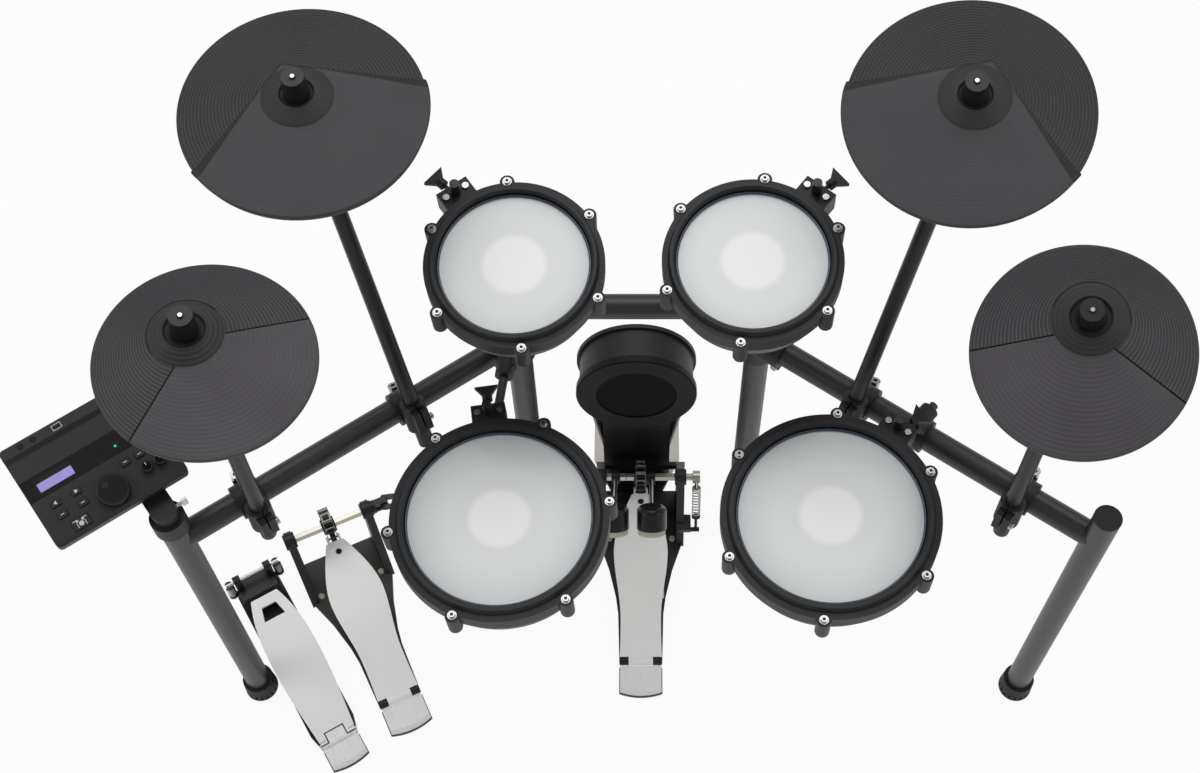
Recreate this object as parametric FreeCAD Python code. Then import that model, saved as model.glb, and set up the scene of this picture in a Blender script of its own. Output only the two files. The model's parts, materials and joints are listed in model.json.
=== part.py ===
"""Electronic drum kit on a tube rack, in millimetres.

X runs to the player's right, Y away from the player, Z up.  The kit is laid out about the point on the
floor midway between the front legs, and moved at the end so that the box of the whole kit stands on
the origin.
"""
import FreeCAD, Part
import math
import os

os.makedirs("parts", exist_ok=True)
Vec = FreeCAD.Vector
UP = Vec(0, 0, 1)
RIGHT = Vec(1, 0, 0)
AWAY = Vec(0, 1, 0)

# General fits
cut_overrun = 1.0
tube_fit = 0.15
moving_gap = 0.3

# Rack tubes
leg_diameter = 38.1
rail_diameter = 36.0
tube_wall = 2.0
front_leg_spread = 1238.0
rear_leg_spread = 357.0
rear_leg_setback = 348.0
rail_rear_spread = 328.0
rail_rear_setback = 326.0
post_height = 631.0
rail_drop = 63.0
crossbar_rise = 72.0
rear_leg_drop = 23.0

# Rubber feet and tube caps
foot_diameter = 53.0
foot_height = 36.0
foot_floor = 8.0
foot_taper = 2.0
foot_notch_count = 18
foot_notch_width = 3.0
foot_notch_depth = 2.0
foot_notch_low = 5.0
foot_notch_high = 15.0
cap_thickness = 3.0
cap_plug_depth = 12.0

# Corner castings
casting_wall = 6.0
leg_socket_length = 62.0
rail_socket_length = 58.0
crossbar_socket_length = 50.0
socket_floor = 6.0
casting_step = 1.0
casting_lug_radius = 8.0
casting_lug_width = 22.0

# Cymbal rods and their clamps
rod_diameter = 22.2
rod_offset = 34.0
rod_tail = 54.0
rod_end_round = 4.0
clamp_wall = 6.5
clamp_width = 38.0
clamp_height = 42.0
clamp_nose = 28.0
clamp_ear_width = 22.0
clamp_ear_height = 30.0
clamp_split = 2.4
clamp_bolt_head_radius = 5.0
clamp_bolt_head_height = 5.0
eye_radius = 8.0
eye_bore = 3.4
eye_height = 9.0

# Tilter on top of each cymbal rod
knuckle_radius = 11.0
knuckle_width = 30.0
stem_radius = 7.0
stem_length = 26.0
ball_radius = 14.0
stud_radius = 4.0
stud_rise = 57.0
pad_seat_rise = 2.0

# Cymbal stopper
stopper_base_radius = 16.0
stopper_top_radius = 14.0
stopper_height = 33.0
stopper_collar_height = 8.0
stopper_gap = 3.0

# Cymbal pads
large_cymbal_diameter = 305.0
small_cymbal_diameter = 257.0
cymbal_rim_thickness = 7.0
cymbal_edge_round = 2.5
cymbal_bow_rise = 14.0
cymbal_bow_thickness = 7.0
cymbal_lip = 10.0
bell_radius = 43.0
bell_rise = 9.0
bell_shoulder = 17.0
bell_well_radius = 22.0
bell_well_depth = 4.0
cymbal_bore_radius = 9.0
large_bell_offset = 14.0
small_bell_offset = 37.0
fan_rise = 7.0
fan_overhang = 2.5
fan_offset = 57.0
fan_half_angle = 63.0
split_width = 1.6
split_depth = 2.0

# Cymbal places: along the rail from the front leg, lean back, sway along the rail, reach, tilt
hi_hat_place = 107.0
hi_hat_lean = 4.9
hi_hat_sway = 1.2
hi_hat_reach = 375.0
hi_hat_pitch = 3.1
hi_hat_roll = 5.8
hi_hat_front = -47.6
hi_hat_sector = 156.0
ride_place = 116.0
ride_lean = 8.0
ride_sway = 1.3
ride_reach = 388.0
ride_pitch = 18.1
ride_roll = -12.7
ride_front = -107.0
ride_sector = 154.0
left_crash_place = 358.0
left_crash_lean = 27.7
left_crash_sway = 3.1
left_crash_reach = 467.0
left_crash_pitch = 5.9
left_crash_roll = 2.4
left_crash_front = -62.7
right_crash_place = 372.0
right_crash_lean = 26.6
right_crash_sway = 1.4
right_crash_reach = 474.0
right_crash_pitch = 12.9
right_crash_roll = -7.4
right_crash_front = -117.3

# Drum pads
large_head_diameter = 242.0
large_rim_width = 21.0
small_head_diameter = 194.0
small_rim_width = 18.0
head_thickness = 1.0
hoop_lift = 11.0
hoop_drop = 20.0
hoop_wall = 6.0
hoop_bevel = 2.5
hoop_crest_share = 0.42
hoop_shoulder_share = 0.6
trim_ring_width = 1.5
shell_depth = 58.0
shell_floor = 4.0
shell_taper = 12.0
lug_count = 6
lug_radius = 9.5
lug_rise = 3.0
lug_length = 16.0
lug_offset = 1.0
lug_bolt_radius = 2.8
lug_bolt_head_radius = 4.5
lug_bolt_head_height = 3.6
lug_washer_radius = 6.0
lug_washer_height = 1.4
sensor_plate_radius = 46.0
sensor_plate_height = 22.0
sensor_cone_radius = 16.0
sensor_tip_radius = 9.0
sensor_gap = 0.3

# Pad brackets, rods and wing bolts
bracket_width = 46.0
bracket_top = -14.0
bracket_height = 36.0
bracket_reach = 20.0
bracket_nose = 12.0
pad_rod_diameter = 12.6
pad_rod_rise = 24.0
pad_rod_bend = 24.0
bracket_bolt_radius = 4.4
bracket_bolt_height = 3.5
bracket_bolt_spread = 30.0
wing_screw_radius = 3.0
wing_screw_length = 16.0
wing_drop = 11.0
wing_hub_radius = 7.0
wing_hub_height = 9.0
wing_span = 32.0
wing_height = 16.0
wing_thickness = 7.0

# Drum pad places: middle of the head, tilt, turn of the first lug, turn of the bracket
snare_x = -178.0
snare_y = -23.0
snare_rise = 110.0
snare_pitch = 2.6
snare_roll = -1.4
snare_lug_turn = 8.0
snare_bracket_turn = 98.0
snare_wing_turn = 0.0
floor_tom_x = 247.0
floor_tom_y = -23.0
floor_tom_rise = 119.0
floor_tom_pitch = 3.3
floor_tom_roll = -1.7
floor_tom_lug_turn = 23.5
floor_tom_bracket_turn = 53.5
floor_tom_wing_turn = -20.0
left_tom_x = -156.0
left_tom_y = 237.0
left_tom_rise = 233.0
left_tom_pitch = 9.6
left_tom_roll = 0.4
left_tom_lug_turn = 36.0
left_tom_bracket_turn = 126.0
left_tom_wing_turn = 12.0
right_tom_x = 145.0
right_tom_y = 239.0
right_tom_rise = 239.0
right_tom_pitch = 7.9
right_tom_roll = -2.0
right_tom_lug_turn = 21.0
right_tom_bracket_turn = 51.0
right_tom_wing_turn = -12.0

# Pad holders on the rack
holder_wall = 6.5
holder_width = 30.0
holder_arm_width = 26.0
holder_sleeve_radius = 13.0
holder_sleeve_length = 36.0
holder_rod_rise = 40.0
snare_holder_rise = 36.0
snare_holder_ring_height = 19.0
snare_holder_x = -186.0
snare_holder_y = 250.0
floor_holder_place = 280.0
tom_holder_spread = 192.0
rod_end_past_holder = 10.0

# Kick tower
kick_x = -3.0
kick_face_y = 362.0
kick_height = 326.0
kick_lean = 3.0
kick_face_diameter = 192.0
kick_disc_diameter = 128.0
kick_disc_recess = 2.0
kick_ring_depth = 13.0
kick_depth = 72.0
kick_waist_diameter = 182.0
kick_flange_depth = 7.0
tower_width = 112.0
tower_plate = 3.0
tower_front_gap = 16.0
tower_channel_depth = 40.0
tower_base_length = 250.0
tower_base_width = 150.0
tower_base_height = 8.0
tower_nose_length = 22.0
tower_nose_width = 90.0
wing_plate_spread = 88.0
wing_plate_foot = 130.0
wing_plate_length = 34.0
wing_slot_width = 8.0
wing_slot_length = 60.0
tower_knob_radius = 6.0
tower_knob_height = 9.0
tower_knob_places_share = (0.58, 0.73)

# Bass pedals
kick_pedal_x = 4.0
kick_pedal_y = 324.0
remote_pedal_x = -513.0
remote_pedal_y = 234.0
remote_pedal_turn = 25.5
axle_height = 120.0
axle_radius = 6.0
axle_flats = 12.0
hinge_setback = 288.0
hinge_height = 17.0
hinge_pin_radius = 3.0
heel_length = 49.0
heel_width = 68.0
heel_thickness = 15.0
heel_bow_radius = 100.0
heel_rim = 1.5
heel_knuckle_width = 13.5
board_length = 284.5
board_thickness = 7.0
board_rest_angle = 11.16
board_widths = (70.0, 67.0, 69.0, 86.0, 90.0, 62.0, 30.0)
board_stations_share = (0.0, 0.2, 0.32, 0.54, 0.67, 0.87, 1.0)
board_knuckle_width = 40.0
clevis_width = 24.0
clevis_depth = 10.0
clevis_reach = 8.0
base_plate_thickness = 5.0
base_widths = (71.0, 76.0, 84.0, 108.0, 147.0)
base_setbacks = (288.0, 198.0, 168.0, 117.0, 60.0)
base_front = 32.0
remote_base_front = 8.0
base_slot_width = 14.0
base_slot_length = 46.0
base_slot_setback = 215.0
post_spread = 134.0
post_thickness = 13.0
post_foot_back = 72.0
post_foot_front = 30.0
post_top_radius = 16.0
post_boss_radius = 13.5
post_boss_width = 19.0
bridge_setback = 40.0
bridge_level = 92.0
bridge_depth = 7.0
bridge_height = 14.0
bridge_overhang = 8.0

# Sprockets, chains and beaters
chain_pitch = 12.7
sprocket_teeth = 13
sprocket_width = 9.0
sprocket_tooth = 3.4
tip_share = 0.1
root_share = 0.3
sprocket_hub_radius = 13.0
sprocket_hub_width = 22.0
chain_wrap_links = 6
chain_drop_links = 3
link_plate_height = 8.0
link_plate_thickness = 1.4
link_inner_width = 11.0
link_side_gap = 0.25
roller_radius = 3.6
link_pin_radius = 1.8
link_pin_gap = 0.15
right_beater_x = 17.0
left_beater_x = -42.0
beater_hub_radius = 13.0
beater_hub_width = 14.0
beater_rod_radius = 3.4
beater_reach = 205.0
beater_rest_angle = 45.0
beater_head_radius = 23.5
beater_head_length = 36.0
beater_head_round = 9.0
beater_felt_length = 9.0
beater_felt_radius = 21.5
shaft_parting = 1.0
main_axle_left = -24.0
axle_overhang = 26.0
crank_radius = 11.0
crank_thickness = 12.0
crank_reach = 20.0
crank_pin_radius = 3.0

# Return springs
spring_radius = 6.4
spring_wire = 1.9
spring_turns = 9
spring_drop = 78.0
spring_slant = 40.0
spring_seat_gap = 0.3
spring_seat_height = 2.0
spring_stem_length = 28.0
spring_stem_radius = 2.4
spring_stud_radius = 4.0
spring_anchor_width = 12.0
spring_arm_length = 26.0

# Drive shaft
yoke_ear_radius = 6.0
yoke_ear_thickness = 5.0
yoke_gap = 13.0
yoke_reach = 22.0
joint_ball_radius = 6.0
joint_pin_radius = 2.6
shaft_radius = 7.5
shaft_sleeve_radius = 9.5
shaft_sleeve_share = 0.45
left_shaft_end = -101.0
remote_shaft_end = 77.0

# Hi-hat pedal
hi_hat_pedal_x = -458.0
hi_hat_pedal_y = -133.0
hi_hat_pedal_turn = 31.3
hi_hat_heel_length = 46.0
hi_hat_hinge_height = 15.0
hi_hat_board_length = 266.0
hi_hat_board_angle = 12.5
hi_hat_board_widths = (60.0, 68.0, 80.0, 67.0, 46.0)
hi_hat_stations_share = (0.0, 0.15, 0.67, 0.87, 1.0)
hi_hat_base_width = 60.0
hi_hat_frame_width = 76.0
hi_hat_flare_length = 75.0
hi_hat_base_length = 362.0
hi_hat_base_thickness = 6.0
hi_hat_tower_width = 66.0
hi_hat_tower_depth = 46.0
hi_hat_tower_height = 68.0
hi_hat_tower_gap = 8.0
hi_hat_lug_radius = 9.0
hi_hat_lug_width = 12.0
hi_hat_rod_radius = 3.0
hi_hat_rod_overhang = 14.0
hi_hat_rod_height = 88.0
hi_hat_rod_share = 0.68
hi_hat_window_share = (0.845, 0.935)
hi_hat_window_width_share = 0.8
hi_hat_spring_drop = 40.0
hi_hat_spring_turns = 7
hi_hat_spring_foot = 5.0

# Sound module
module_x = -701.0
module_y = 43.0
module_rise = 74.0
module_turn = 36.5
module_tilt = 20.0
module_width = 188.0
module_depth = 145.0
module_front_thickness = 24.0
module_rear_thickness = 46.0
module_lip = 5.0
module_ridge_depth = 20.0
module_ridge_rise = 6.0
module_corner = 6.0
screen_width = 52.0
screen_depth = 20.0
screen_thickness = 2.0
screen_x = -52.0
screen_y = 10.5
dial_x = 1.0
dial_y = -44.0
dial_radius = 21.0
dial_height = 11.0
dial_well_depth = 2.0
knob_radius = 7.5
knob_height = 9.0
knob_x = (52.0, 71.0)
knob_y = -40.0
button_size = 13.0
button_depth = 9.0
button_height = 3.5
button_socket = 5.0
button_travel = 1.2
kit_button_size = 24.0
kit_button_depth = 15.0
cursor_x = (-67.0, -38.5)
cursor_y = (-37.0, -20.0)
kit_button_x = -53.0
kit_button_y = -58.0
upper_button_x = (32.0, 52.5)
upper_button_y = -19.5

# Module holder
module_clamp_height = 24.0
module_clamp_wall = 4.5
module_neck_radius = 17.0
module_arm_width = 34.0
module_barrel_length = 36.0
module_barrel_radius = 8.0
module_pivot_radius = 4.0
module_ear_thickness = 8.0
module_ear_radius = 9.0
module_pivot_x = 40.0
module_pivot_setback = 58.0
module_pivot_drop = 18.0
thumb_screw_radius = 2.6
thumb_screw_length = 8.0
thumb_wing_span = 15.0
thumb_wing_height = 8.0
thumb_wing_thickness = 3.5

# Worked-out sizes
leg_radius = leg_diameter / 2
rail_radius = rail_diameter / 2
rod_radius = rod_diameter / 2
pad_rod_radius = pad_rod_diameter / 2
casting_web_radius = rail_radius + casting_wall
rail_height = post_height - rail_drop
crossbar_height = rail_height + crossbar_rise
rear_leg_top = rail_height - rear_leg_drop
snare_height = rail_height + snare_rise
snare_holder_height = rail_height + snare_holder_rise
floor_tom_height = rail_height + floor_tom_rise
left_tom_height = crossbar_height + left_tom_rise
right_tom_height = crossbar_height + right_tom_rise
module_height = post_height + module_rise
sprocket_radius = chain_pitch / (2 * math.sin(math.pi / sprocket_teeth))
board_rest = math.radians(board_rest_angle)
hex_end = (post_spread - post_boss_width) / 2 - moving_gap


def rod(radius, start, end):
    """Solid bar of the given radius between two points."""
    axis = end - start
    return Part.makeCylinder(radius, axis.Length, start, axis)


def tube(outer, bore, start, end):
    """Open tube between two points."""
    axis = end - start
    past = axis * (cut_overrun / axis.Length)
    return rod(outer, start, end).cut(rod(bore, start - past, end + past))


def block(x0, x1, y0, y1, z0, z1):
    """Box between two corners."""
    return Part.makeBox(x1 - x0, y1 - y0, z1 - z0, Vec(x0, y0, z0))


def prism(points, lift):
    """Polygon carried along a vector."""
    corners = [Vec(*point) for point in points]
    outline = Part.makePolygon(corners + corners[:1])
    return Part.Face(outline).extrude(lift)


def turned(profile):
    """Solid of revolution about Z from (radius, height) points."""
    outline = [Vec(radius, 0, height) for radius, height in profile]
    face = Part.Face(Part.makePolygon(outline + outline[:1]))
    return face.revolve(Vec(0, 0, 0), UP, 360)


def stand(shape, origin, along, up):
    """Put a shape with its own X along and its own Z up, at origin."""
    placed = shape.copy()
    turn = FreeCAD.Rotation(along, up.cross(along), up, "ZXY")
    placed.Placement = FreeCAD.Placement(origin, turn).multiply(shape.Placement)
    return placed


def tilted_axes(pitch, roll):
    """Plane tipped towards the player by pitch and to the right by roll: its X and its normal."""
    normal = Vec(math.tan(math.radians(roll)), -math.tan(math.radians(pitch)), 1)
    normal.normalize()
    along = RIGHT - normal * normal.x
    along.normalize()
    return along, normal


def polar(radius, degrees, height):
    """Point at a radius and a turn from X."""
    turn = math.radians(degrees)
    return Vec(radius * math.cos(turn), radius * math.sin(turn), height)


def bent_rod(points, radius, bend):
    """Round bar through three points, with a tangent bend at the middle one."""
    start, corner, end = points
    back = (start - corner).normalize()
    ahead = (end - corner).normalize()
    half_turn = (math.pi - back.getAngle(ahead)) / 2
    trim = bend * math.tan(half_turn)
    inward = (back + ahead).normalize()
    middle = corner + inward * (bend / math.cos(half_turn) - bend)
    first = corner + back * trim
    second = corner + ahead * trim
    edges = [Part.LineSegment(start, first).toShape()]
    edges.append(Part.Arc(first, middle, second).toShape())
    edges.append(Part.LineSegment(second, end).toShape())
    section = Part.Wire(Part.makeCircle(radius, start, corner - start))
    return Part.Wire(edges).makePipeShell([section], True, False)


def arc_from(start, tangent, end):
    """Arc that leaves start along tangent and reaches end."""
    chord = end - start
    ahead = Vec(chord).normalize()
    side = tangent - ahead * tangent.dot(ahead)
    bulge = chord.Length / 2 * math.tan(tangent.getAngle(chord) / 2)
    return Part.Arc(start, (start + end) / 2 + side.normalize() * bulge, end).toShape()


def biarc(start, start_tangent, end, end_tangent):
    """Two arcs that join two points and keep the tangents at both."""
    reach = end - start
    both = start_tangent + end_tangent
    a = 2 * (1 - start_tangent.dot(end_tangent))
    b = 2 * reach.dot(both)
    length = (math.sqrt(b * b + 4 * a * reach.dot(reach)) - b) / (2 * a)
    middle = (start + end + (start_tangent - end_tangent) * length) / 2
    mid_tangent = (middle - start - start_tangent * length).normalize()
    return [arc_from(start, start_tangent, middle), arc_from(middle, mid_tangent, end)]


def coil_spring(radius, wire, turns, start, end):
    """Helical wire between two flat seats, with straight ends one wire diameter long."""
    axis = end - start
    lead = wire / 2 + spring_seat_gap + wire * axis.Length / (turns * 2 * math.pi * radius)
    rise = (axis.Length - 2 * lead) / turns
    slope = rise / (2 * math.pi)
    pace = math.hypot(radius, slope)

    def at(quarter):
        turn = quarter * math.pi / 2
        place = Vec(radius * math.cos(turn), radius * math.sin(turn), lead + slope * turn)
        heading = Vec(-radius * math.sin(turn), radius * math.cos(turn), slope) / pace
        return place, heading

    edges = []
    for quarter in range(4 * turns):
        edges += biarc(*at(quarter), *at(quarter + 1))
    first, heading = at(0)
    last, last_heading = at(4 * turns)
    edges.insert(0, Part.LineSegment(first - heading * wire, first).toShape())
    edges.append(Part.LineSegment(last, last + last_heading * wire).toShape())
    section = Part.Wire(Part.makeCircle(wire / 2, first - heading * wire, heading))
    spring = Part.Wire(edges).makePipeShell([section], True, False)
    print("spring: least gap between turns %.2f mm" % (rise - wire))
    side = Vec(axis.y, -axis.x, 0) if axis.x or axis.y else RIGHT
    return stand(spring, start, side.normalize(), Vec(axis).normalize())


def front_leg_foot(side):
    return Vec(side * front_leg_spread / 2, 0, 0)


def rail_ends(side):
    front = front_leg_foot(side) + UP * rail_height
    rear = Vec(side * rail_rear_spread / 2, rail_rear_setback, rail_height)
    return front, rear


def rail_direction(side):
    front, rear = rail_ends(side)
    return (rear - front).normalize()


def rail_point(side, distance):
    return rail_ends(side)[0] + rail_direction(side) * distance


def side_frame(side):
    """Front leg, and the rail that is coped and welded to it."""
    foot = front_leg_foot(side)
    top = foot + UP * (post_height - cap_thickness)
    leg = tube(leg_radius, leg_radius - tube_wall, foot + UP * foot_floor, top)
    front, rear = rail_ends(side)
    end = rear - rail_direction(side) * (leg_radius + socket_floor)
    rail = tube(rail_radius, rail_radius - tube_wall, front, end)
    rail = rail.cut(rod(leg_radius, foot, top))
    return [leg, rail]


def rear_leg_foot(side):
    return Vec(side * rear_leg_spread / 2, rear_leg_setback, 0)


def rear_leg(side):
    foot = rear_leg_foot(side)
    return tube(leg_radius, leg_radius - tube_wall, foot + UP * foot_floor, foot + UP * rear_leg_top)


def crossbar_end(side):
    return Vec(side * (rail_rear_spread / 2 - socket_floor), rail_rear_setback, crossbar_height)


def crossbar():
    return tube(rail_radius, rail_radius - tube_wall, crossbar_end(-1), crossbar_end(1))


def corner_casting(side):
    """Casting that takes the top of a rear leg, the end of a rail and the end of the crossbar."""
    leg_top = rear_leg_foot(side) + UP * rear_leg_top
    rail_end = rail_ends(side)[1]
    back = rail_direction(side) * -1
    inward = RIGHT * -side
    bar_axis = Vec(rail_end.x, rail_end.y, crossbar_height)
    roof = leg_top + UP * socket_floor
    body = rod(leg_radius + casting_wall, leg_top - UP * leg_socket_length, roof)
    socket_radius = casting_web_radius + casting_step
    body = body.fuse(rod(casting_web_radius, rail_end - UP * rail_radius, bar_axis + UP * rail_radius))
    body = body.fuse(rod(socket_radius, rail_end, rail_end + back * rail_socket_length))
    body = body.fuse(rod(socket_radius, bar_axis, bar_axis + inward * crossbar_socket_length))
    lug = casting_web_radius + casting_lug_radius / 2
    spots = [rail_end + back * (rail_socket_length - casting_lug_radius) - UP * lug]
    spots.append(bar_axis + inward * (crossbar_socket_length - casting_lug_radius) - UP * lug)
    for spot, axis in zip(spots, (back, inward)):
        across = axis.cross(UP) * (casting_lug_width / 2)
        body = body.fuse(rod(casting_lug_radius, spot - across, spot + across))
    body = body.cut(rod(leg_radius + tube_fit, leg_top - UP * (leg_socket_length + cut_overrun), leg_top))
    stop = rail_end + back * (leg_radius + socket_floor)
    past = back * (rail_socket_length + cut_overrun)
    body = body.cut(rod(rail_radius + tube_fit, stop, rail_end + past))
    past = inward * (crossbar_socket_length + cut_overrun)
    body = body.cut(rod(rail_radius + tube_fit, crossbar_end(side), bar_axis + past))
    bolts = [lug_bolt(spot, axis.cross(UP) * side) for spot, axis in zip(spots, (back, inward))]
    return body.removeSplitter(), bolts


def lug_bolt(spot, axis):
    """Cap screw whose head stands on the end of a casting lug."""
    face = spot + axis * (casting_lug_width / 2)
    return rod(clamp_bolt_head_radius, face, face + axis * clamp_bolt_head_height)


def rubber_foot(place):
    """Tapered cup under a leg, with notches round its lower edge."""
    outer = foot_diameter / 2
    inner = leg_radius + tube_fit
    profile = [(0, 0), (outer, 0), (outer - foot_taper, foot_height)]
    profile += [(inner, foot_height), (inner, foot_floor), (0, foot_floor)]
    half = foot_notch_width / 2
    root = outer - foot_notch_depth
    notches = []
    for number in range(foot_notch_count):
        notch = block(root, outer + cut_overrun, -half, half, foot_notch_low, foot_notch_high)
        notch.rotate(Vec(0, 0, 0), UP, 360 / foot_notch_count * number)
        notches.append(notch)
    cup = turned(profile).cut(notches)
    cup.translate(place)
    return cup


def post_cap(side):
    """Plug in the top of a front post."""
    top = front_leg_foot(side) + UP * post_height
    under = top - UP * cap_thickness
    plug_radius = leg_radius - tube_wall - tube_fit
    return rod(leg_radius, under, top).fuse(rod(plug_radius, under - UP * cap_plug_depth, under))


class Cymbal:
    """Place and axes of one cymbal: clamp on the rail, rod, tilter and pad."""

    def __init__(self, side, place, lean, sway, reach, pitch, roll, diameter, front):
        self.side = side
        self.radius = diameter / 2
        self.front = front
        along = rail_direction(side)
        player = along.cross(UP) * -side
        lean = math.radians(lean)
        leaned = UP * math.cos(lean) - player * math.sin(lean)
        self.rod_axis = (leaned + along * math.sin(math.radians(sway))).normalize()
        self.outward = player * math.cos(lean) + UP * math.sin(lean)
        self.rail_spot = rail_point(side, place)
        self.rod_spot = self.rail_spot + self.outward * rod_offset
        self.knuckle = self.rod_spot + self.rod_axis * reach
        self.along, self.normal = tilted_axes(pitch, roll)
        self.pivot = self.knuckle + self.normal * stem_length
        self.centre = self.pivot + self.normal * pad_seat_rise

    def place(self, shape):
        return stand(shape, self.centre, self.along, self.normal)

    def arm(self):
        """Rod, tilter knuckle, ball seat and stud in one, with the stopper over the stud."""
        tail = self.rod_spot - self.rod_axis * rod_tail
        stem = rod(rod_radius, tail, self.knuckle)
        tip = [edge for edge in stem.Edges if (edge.CenterOfMass - tail).Length < rod_end_round]
        stem = stem.makeFillet(rod_end_round, tip)
        half = self.along * (knuckle_width / 2)
        stem = stem.fuse(rod(knuckle_radius, self.knuckle - half, self.knuckle + half))
        stem = stem.fuse(rod(stem_radius, self.knuckle, self.pivot))
        stem = stem.fuse(Part.makeSphere(ball_radius, self.pivot))
        stem = stem.fuse(rod(stud_radius, self.pivot, self.centre + self.normal * stud_rise))
        return [stem.removeSplitter(), self.place(stopper())]

    def clamp(self):
        """Ring round the rail, split sleeve round the rod, and two ears that a screw draws together."""
        along = rail_direction(self.side) * -self.side
        ring_radius = rail_radius + clamp_wall
        half = along * (clamp_width / 2)
        ring = rod(ring_radius, self.rail_spot - half, self.rail_spot + half)
        level = along - self.rod_axis * along.dot(self.rod_axis)
        level.normalize()
        sleeve = Part.makeCylinder(rod_radius + clamp_wall, clamp_height, UP * (-clamp_height / 2))
        wide = clamp_ear_width / 2
        high = clamp_ear_height / 2
        sleeve = sleeve.fuse(block(-wide, wide, -clamp_nose, rod_offset, -high, high))
        body = ring.fuse(stand(sleeve, self.rod_spot, level, self.rod_axis))
        arm = block(-eye_radius, eye_radius, 0, ring_radius + eye_radius, 0, eye_height)
        eye = AWAY * (ring_radius + eye_radius)
        tip = rod(eye_radius, eye, eye + UP * eye_height)
        body = body.fuse(stand(arm.fuse(tip), self.rail_spot, level, self.rod_axis))
        over = along * (clamp_width / 2 + cut_overrun)
        body = body.cut(rod(rail_radius + tube_fit, self.rail_spot - over, self.rail_spot + over))
        tall = self.rod_axis * clamp_height
        body = body.cut(rod(rod_radius + moving_gap, self.rod_spot - tall, self.rod_spot + tall))
        slit = clamp_split / 2
        split = block(-slit, slit, -clamp_nose - cut_overrun, 0, -clamp_height, clamp_height)
        body = body.cut(stand(split, self.rod_spot, level, self.rod_axis))
        return body.removeSplitter()

    def clamp_bolts(self):
        """Cap screw through the ears, and the eye nut behind the rail."""
        level = rail_direction(self.side) * -self.side
        level = level - self.rod_axis * level.dot(self.rod_axis)
        level.normalize()
        front = -(rod_radius + clamp_wall + clamp_nose) / 2
        start = Vec(clamp_ear_width / 2, front, 0)
        head = rod(clamp_bolt_head_radius, start, start + RIGHT * clamp_bolt_head_height)
        top = Vec(0, rod_offset + rail_radius + clamp_wall + eye_radius, eye_height)
        eye = tube(eye_radius, eye_bore, top, top + UP * eye_height)
        return [stand(solid, self.rod_spot, level, self.rod_axis) for solid in (head, eye)]


def stopper():
    """Tapered rubber stopper that keeps a cymbal pad on its stud."""
    base = cymbal_bow_rise + bell_rise + stopper_gap - bell_well_depth
    bore = stud_radius + tube_fit
    profile = [(bore, base), (stopper_base_radius, base)]
    profile += [(stopper_base_radius, base + stopper_collar_height)]
    profile += [(stopper_top_radius, base + stopper_height), (bore, base + stopper_height)]
    return turned(profile)


def frustum(low_radius, low_centre, high_radius, high_centre):
    """Solid between two level circles, which need not share an axis."""
    circles = [Part.makeCircle(low_radius, low_centre), Part.makeCircle(high_radius, high_centre)]
    return Part.makeLoft([Part.Wire(circle) for circle in circles], True, True)


def cymbal_blank(radius, offset, rise):
    """Rubber disc whose bell sits off its middle: rim, bow, bell, hollow underside and seat for the ball.

    The bell's axis is Z and the player is towards +X, where the rim may be raised.
    """
    half = cymbal_rim_thickness / 2
    edge = cymbal_edge_round
    top = half + rise
    middle = RIGHT * offset
    profile = [(0, -half), (radius - edge, -half), (radius, edge - half)]
    profile += [(radius, top - edge), (radius - edge, top), (0, top)]
    rim = turned(profile)
    rim.translate(middle)
    bow = frustum(radius - edge, middle + UP * top, bell_radius, UP * cymbal_bow_rise)
    bell_top = cymbal_bow_rise + bell_rise
    profile = [(0, half), (bell_radius, half), (bell_radius, cymbal_bow_rise)]
    profile += [(bell_radius - bell_shoulder, bell_top), (0, bell_top)]
    bell = turned(profile)
    hollow_top = cymbal_bow_rise - cymbal_bow_thickness
    hollow = frustum(radius - cymbal_lip, middle - UP * half, bell_radius, UP * hollow_top)
    pad = rim.fuse([bow, bell]).cut(hollow)
    well_floor = UP * (bell_top - bell_well_depth)
    pad = pad.cut(Part.makeCylinder(bell_well_radius, bell_well_depth + cut_overrun, well_floor))
    pad = pad.cut(Part.makeCylinder(cymbal_bore_radius, bell_top + cut_overrun))
    return pad.cut(Part.makeSphere(ball_radius + moving_gap, UP * -pad_seat_rise))


def large_cymbal(cymbal):
    """Pad with a playing fan that rises towards its rim, between two straight steps behind the bell."""
    radius = cymbal.radius
    low = cymbal_blank(radius, large_bell_offset, 0)
    high = cymbal_blank(radius + fan_overhang, large_bell_offset, fan_rise)
    half_angle = math.radians(fan_half_angle)
    apex = -fan_offset / math.sin(half_angle)
    far = 2 * radius
    spread = far * math.tan(half_angle)
    wedge = [(apex, 0, -far), (apex + far, -spread, -far), (apex + far, spread, -far)]
    fan = prism(wedge, UP * 2 * far)
    pad = low.cut(fan).fuse(high.common(fan)).removeSplitter()
    pad.rotate(Vec(0, 0, 0), UP, cymbal.front)
    return cymbal.place(pad)


def small_cymbal(cymbal, sector):
    """Pad with two radial splits that set off the playing sector."""
    radius = cymbal.radius
    pad = cymbal_blank(radius, small_bell_offset, 0)
    depth = split_depth
    groove = cymbal_blank(radius + cut_overrun, small_bell_offset, 0)
    groove.translate(UP * -depth)
    under = UP * (-cymbal_rim_thickness / 2)
    skin = Part.makeCylinder(2 * radius, cymbal_bow_rise + depth, under).cut(groove)
    for turn in (-sector / 2, sector / 2):
        slit = block(bell_radius, 2 * radius, -split_width / 2, split_width / 2, 0, cymbal_bow_rise)
        slit.rotate(Vec(0, 0, 0), UP, turn)
        pad = pad.cut(slit.common(skin))
    pad.rotate(Vec(0, 0, 0), UP, cymbal.front)
    return cymbal.place(pad)


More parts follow.
